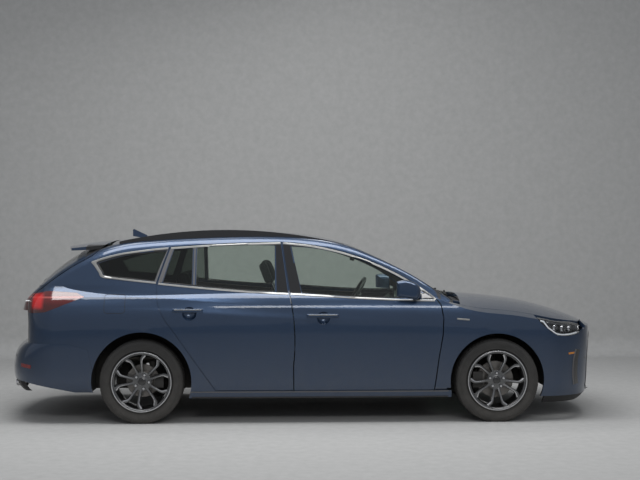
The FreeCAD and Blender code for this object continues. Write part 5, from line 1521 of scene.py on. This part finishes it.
@dataclass
class Cowl:
    """Front wipers."""

    blades: Sequence[tuple[Point2, Point2, Point2]] = (((1.142, 0.6), (1.112, 0.57), (1.16, 0.01)),
                                                     ((1.18, -0.06), (1.134, -0.075), (1.104, -0.585)))

    def build(self) -> None:
        """Builds both wipers."""
        skin = Skin(["body_glass", "scuttle", "bonnet", "front_wings", "roof_panel", "body_side_left",
                     "body_side_right"],
                    Way.ABOVE)
        for k, (pivot, start, end) in enumerate(self.blades):
            line = []
            for i in range(18):
                x, y = (a + (b - a) * i / 17 for a, b in zip(start, end))
                p, n = skin.near(x, y)
                line.append(p + n * 0.013)
            add_piece(f"wiper_blade_{k}", Shape().tube(line, 0.006, 8).mesh("blade", 40.0), "seal_rubber")
            base = skin.near(*pivot)[0]
            knee = line[8] + Vector((0.006, 0.0, 0.012))
            up = Vector((0.0, 0.0, 1.0))
            arm = [base - up * 0.01, base + up * 0.02, base.lerp(knee, 0.35) + up * 0.014, knee]
            add_piece(f"wiper_arm_{k}", Shape().tube(arm, 0.0075, 10).mesh("arm", 45.0), "black_trim")
            cap = turned(((0.017, -0.01), (0.017, 0.02), (0.012, 0.027), (0.0004, 0.028)), base,
                         ((1, 0, 0), (0, 1, 0), up), 20)
            add_piece(f"wiper_cap_{k}", Shape().rings(cap).mesh("cap", 40.0), "black_trim")


# ---------------------------------------------------------------- seats and cabin
@dataclass(frozen=True)
class Pad:
    """One stuffed pad: its half sizes, rounding, crown, pinched sides, side rolls and sewn channels."""

    name: str
    half: Point3
    centre: Point3
    lean_deg: float = 0.0
    pivot: Point3 = (0.0, 0.0, 0.0)
    facing: int = 2
    rounding: float = 0.045
    crown: float = 0.012
    pinch: float = 0.01
    roll: float = 0.012
    channels: tuple[float, ...] = ()
    steps: int = 30
    fill: float = 0.75

    def point(self, u: float, v: float, w: float) -> Vector:
        """A point of the pad from a point of the cube (-1..1); w runs along the facing side."""
        order = [i for i in range(3) if i != self.facing]
        h = [self.half[order[0]], self.half[order[1]], self.half[self.facing]]
        r = min(self.rounding, min(h) * 0.96)
        cube = Vector((u * h[0], v * h[1], w * h[2]))
        core = Vector([max(-(k - r), min(k - r, c)) for c, k in zip(cube, h)])
        out = cube - core
        p = core + (out.normalized() * r if out.length > 1e-9 else out)
        bulge = (1 - u * u) * (1 - v * v)
        if w > 0:
            lift = self.crown * bulge - self.crown
            side = max(0.0, abs(v) - 0.62) / 0.38
            lift += self.roll * (math.sin(math.pi * side) if side > 0 else -0.35)
            lift -= sum(0.0055 * math.exp(-((u - c) / 0.018) ** 2) * (abs(v) < 0.62) for c in self.channels)
            lift -= 0.006 * math.exp(-((abs(v) - 0.62) / 0.014) ** 2)
            p.z += lift * min(1.0, w * 1.5)
        pull = self.pinch * (1 - w * w)
        p.x -= math.copysign(pull * (1 - v * v) * min(1.0, abs(u) ** 3), u)
        p.y -= math.copysign(pull * (1 - u * u) * min(1.0, abs(v) ** 3), v)
        seam = 0.003 * math.exp(-((w - 0.45) / 0.05) ** 2)
        p.x -= math.copysign(seam * abs(u) ** 6, u)
        p.y -= math.copysign(seam * abs(v) ** 6, v)
        real = [0.0, 0.0, 0.0]
        real[order[0]], real[order[1]], real[self.facing] = p.x, p.y, p.z
        spot = Vector(real) + Vector(self.centre)
        return Matrix.Rotation(math.radians(self.lean_deg), 3, "Y") @ spot + Vector(self.pivot)

    def mesh(self) -> Mesh:
        """The closed pad."""
        shape, n = Shape(), self.steps
        for axis in range(3):
            for sign in (-1, 1):
                grid = []
                for i in range(n + 1):
                    for j in range(n + 1):
                        spot = [0.0, 0.0, 0.0]
                        spot[axis] = float(sign)
                        spot[(axis + 1) % 3] = math.sin(math.pi / 2 * (2 * i / n - 1))
                        spot[(axis + 2) % 3] = math.sin(math.pi / 2 * (2 * j / n - 1))
                        grid.append(self.point(*spot))
                faces = []
                for i in range(n):
                    for j in range(n):
                        a = i * (n + 1) + j
                        faces.append((a, a + n + 1, a + n + 2, a + 1))
                shape.add(grid, faces)
        return shape.mesh(self.name, 60.0)

    def piping(self) -> Mesh:
        """The welt along the pad's edge seam."""
        count, w, radius = 120, 0.72, 0.0032
        line = [self.point(c / max(abs(c), abs(s)), s / max(abs(c), abs(s)), w) for c, s in circle(count)]
        rings = []
        middle = sum(line, Vector()) / count
        for i, p in enumerate(line):
            ahead = (line[(i + 1) % count] - line[i - 1]).normalized()
            out = (p - middle).normalized()
            out = (out - ahead * out.dot(ahead)).normalized()
            rings += turned([(radius, 0.0)], p, (out, ahead.cross(out), ahead), 6)
        return Shape().rings(rings, loop=True).mesh(self.name + "_piping", 60.0)


SEAT_Y, FRONT_PIVOT_Z, FRONT_LEAN = 0.371, 0.4, -21.0
REAR_PIVOT, REAR_LEAN = (-0.73, 0.0, 0.44), -18.0


def front_pads(side: str) -> list[Pad]:
    """The three pads of one front seat."""
    y = SIDES[side] * SEAT_Y
    seat = (0.0, y, FRONT_PIVOT_Z)
    ribs = (-0.55, -0.2, 0.15, 0.5)
    return [
        Pad(f"front_cushion_{side}", (0.262, 0.247, 0.074), (0.205, y, 0.371), channels=ribs),
        Pad(f"front_backrest_{side}", (0.058, 0.245, 0.318), (0.0, 0.0, 0.322), FRONT_LEAN, seat, facing=0,
            roll=0.014,
            rounding=0.048),
        Pad(f"front_headrest_{side}", (0.048, 0.132, 0.092), (-0.01, 0.0, 0.786), FRONT_LEAN, seat, facing=0,
            roll=0.0,
            rounding=0.042, pinch=0.006, steps=20, fill=0.9),
    ]


def rear_pads() -> list[Pad]:
    """The bench: cushion, split backrest and headrests."""
    pads = [Pad("rear_cushion", (0.242, 0.632, 0.068), (-0.545, 0.0, 0.411), channels=(-0.3, 0.25), steps=40,
                roll=0.008)]
    for name, y, half in (("left", 0.235, 0.362), ("right", -0.365, 0.232)):
        pads.append(Pad(f"rear_backrest_{name}", (0.062, half, 0.278), (0.004, y, 0.282), REAR_LEAN,
                        REAR_PIVOT,
                        facing=0, rounding=0.045))
    for name, y in (("left", 0.38), ("middle", 0.0), ("right", -0.38)):
        pads.append(Pad(f"rear_headrest_{name}", (0.043, 0.117, 0.068), (-0.01, y, 0.662), REAR_LEAN,
                        REAR_PIVOT, facing=0, roll=0.0,
                        rounding=0.036, pinch=0.005, steps=18, fill=0.9))
    return pads


@dataclass
class Seats:
    """All seats, with rails, side covers and headrest posts."""

    rail_low: float = 0.2255
    rail_high: float = 0.318

    def hard_parts(self, side: str) -> None:
        """Rails, posts and the plastic side covers of one front seat."""
        y = SIDES[side] * SEAT_Y
        rails = Shape()
        for s in (-1, 1):
            rails.block((-0.02, y + s * 0.2 - 0.015, self.rail_low),
                        (0.4, y + s * 0.2 + 0.015, self.rail_high))
        add_piece(f"seat_rails_{side}", rails.mesh("rails"), "cast_iron", bevel=0.003)
        self.posts(f"front_{side}", (0.0, y, FRONT_PIVOT_Z), FRONT_LEAN, (-0.06, 0.06), 0.62, 0.72)
        cover = Shape()
        outer = y + SIDES[side] * 0.2475
        low, high = sorted((outer - SIDES[side] * 0.006, outer + SIDES[side] * 0.0015))
        cover.block((-0.04, low, 0.306), (0.33, high, 0.35))
        add_piece(f"seat_cover_{side}", cover.mesh("cover"), "cabin_plastic", bevel=0.003)

    @staticmethod
    def posts(name: str, seat: Point3, lean: float, ys: Sequence[float], low: float, high: float) -> None:
        """Headrest posts in a leaning backrest."""
        turn = Matrix.Rotation(math.radians(lean), 3, "Y")
        shape = Shape()
        for y in ys:
            shape.tube([turn @ Vector((-0.01, y, z)) + Vector(seat) for z in (low, (low + high) / 2, high)],
                       0.0065, 12)
        add_piece(f"headrest_posts_{name}", shape.mesh("posts", 40.0), "chrome")

    def build(self) -> None:
        """Builds every pad and its piping."""
        for node, pads in (("front_seats", front_pads("left") + front_pads("right")),
                           ("rear_seat", rear_pads())):
            for pad in pads:
                finish = "seat_centre_cloth" if "head" in pad.name else "seat_cloth"
                piece = add_piece(pad.name, pad.mesh(), finish)
                add_piece(pad.name + "_piping", pad.piping(), "satin_grey")
            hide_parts(node)
        for side in SIDES:
            self.hard_parts(side)
        self.posts("rear", REAR_PIVOT, REAR_LEAN,
                   [y + s * 0.05 for y in (-0.38, 0.0, 0.38) for s in (-1, 1)], 0.545, 0.605)


@dataclass
class Cabin:
    """Screen, console, armrest, lever, inner mirror and load cover."""

    def build(self) -> None:
        """Builds the cabin's smaller pieces."""
        for name, finish, low, high, bevel in (
                ("centre_screen", "screen_glass", (0.735, -0.13, 0.905), (0.745, 0.13, 1.005), 0.003),
                ("console", "cabin_plastic", (-0.06, -0.095, 0.372), (0.56, 0.095, 0.47), 0.018),
                ("console_armrest", "steering_leather", (-0.06, -0.08, 0.47), (0.19, 0.08, 0.52), 0.016),
                ("gear_lever", "steering_leather", (0.33, -0.022, 0.47), (0.374, 0.022, 0.56), 0.014),
                ("load_cover", "cabin_plastic", (-1.7, -0.56, 0.9), (-1.0, 0.56, 0.906), 0.001),
                ("inner_mirror", "cabin_plastic", (0.395, -0.12, 1.215), (0.42, 0.12, 1.272), 0.01)):
            add_piece(name, Shape().block(low, high).mesh(name), finish, bevel=bevel)


ASSEMBLIES = [*WHEELS, SideTrim(), Headlamps(), FrontEnd(), RearEnd(), Cowl(), Seats(), Cabin()]


# ---------------------------------------------------------------- studio
@dataclass
class Studio:
    """Pale floor curving up into a backdrop, soft lamps and the camera."""

    floor_tone: float = 0.42
    camera_place: Point3 = (-0.2029, -9.6915, 1.3777)
    camera_turn_deg: Point3 = (90.055, 0.029, -2.03)
    lens_mm: float = 65.5

    def backdrop(self) -> None:
        """Builds the floor and backdrop as one curved sheet."""
        half, front, back, height, radius = 30.0, -26.0, 4.2, 12.0, 0.25
        profile = [(front, 0.0), (back - radius, 0.0)]
        profile += [(back - radius + radius * math.sin(a), radius - radius * math.cos(a))
                    for a in (math.radians(15 * k) for k in range(1, 6))]
        profile += [(back, radius), (back, height)]
        vertices = [(x, y, z) for x in (-half, half) for y, z in profile]
        count = len(profile)
        faces = [(i, count + i, count + i + 1, i + 1) for i in range(count - 1)]
        mesh = bpy.data.meshes.new("studio_floor")
        mesh.from_pydata(vertices, [], faces)
        mesh.polygons.foreach_set("use_smooth", [True] * len(mesh.polygons))
        floor = bpy.data.objects.new("studio_floor", mesh)
        bpy.context.scene.collection.objects.link(floor)
        tone = self.floor_tone
        paper = Finish("studio_paper", (tone, tone, tone * 0.985), roughness=0.95, dust=0.0,
                       specular=0.1).make()
        bench = Bench(paper.node_tree)
        let_through(paper, bench, bench.add("ShaderNodeNewGeometry").outputs["Backfacing"])
        mesh.materials.append(paper)

    def lamp(self, name: str, place: Point3, aim: Point3,
             size: Point2, power: float) -> None:
        """Hangs one soft area lamp aimed at a point."""
        data = bpy.data.lights.new(name, "AREA")
        data.shape, data.size, data.size_y, data.energy = "RECTANGLE", size[0], size[1], power
        lamp = bpy.data.objects.new(name, data)
        lamp.location = place
        lamp.rotation_euler = (Vector(aim) - Vector(place)).to_track_quat("-Z", "Y").to_euler()
        bpy.context.scene.collection.objects.link(lamp)

    def build(self) -> None:
        """Builds the whole studio."""
        scene = bpy.context.scene
        scene.view_settings.view_transform = "Standard"
        self.backdrop()
        world = bpy.data.worlds.new("studio_air")
        world.use_nodes = True
        world.node_tree.nodes["Background"].inputs["Color"].default_value = (0.8, 0.83, 0.88, 1.0)
        world.node_tree.nodes["Background"].inputs["Strength"].default_value = 0.42
        scene.world = world
        self.lamp("roof_softbox", (0.0, -1.2, 4.6), (0.0, -0.4, 0.6), (6.5, 1.6), 190.0)
        self.lamp("side_softbox", (1.0, -9.0, 5.0), (0.0, 0.0, 0.9), (5.0, 1.4), 150.0)
        self.lamp("far_softbox", (-1.0, 1.6, 5.6), (0.0, -0.6, 0.8), (5.0, 1.2), 80.0)
        data = bpy.data.cameras.new("camera")
        data.lens, data.sensor_width = self.lens_mm, 36.0
        camera = bpy.data.objects.new("camera", data)
        camera.location = self.camera_place
        camera.rotation_euler = tuple(math.radians(a) for a in self.camera_turn_deg)
        scene.collection.objects.link(camera)
        scene.camera = camera


def main() -> None:
    """Builds the car's pieces in order."""
    Studio().build()
    dress_nodes()
    for assembly in ASSEMBLIES:
        assembly.build()


if __name__ == "__main__":
    logging.basicConfig(level=logging.INFO, format="%(message)s")
    main()
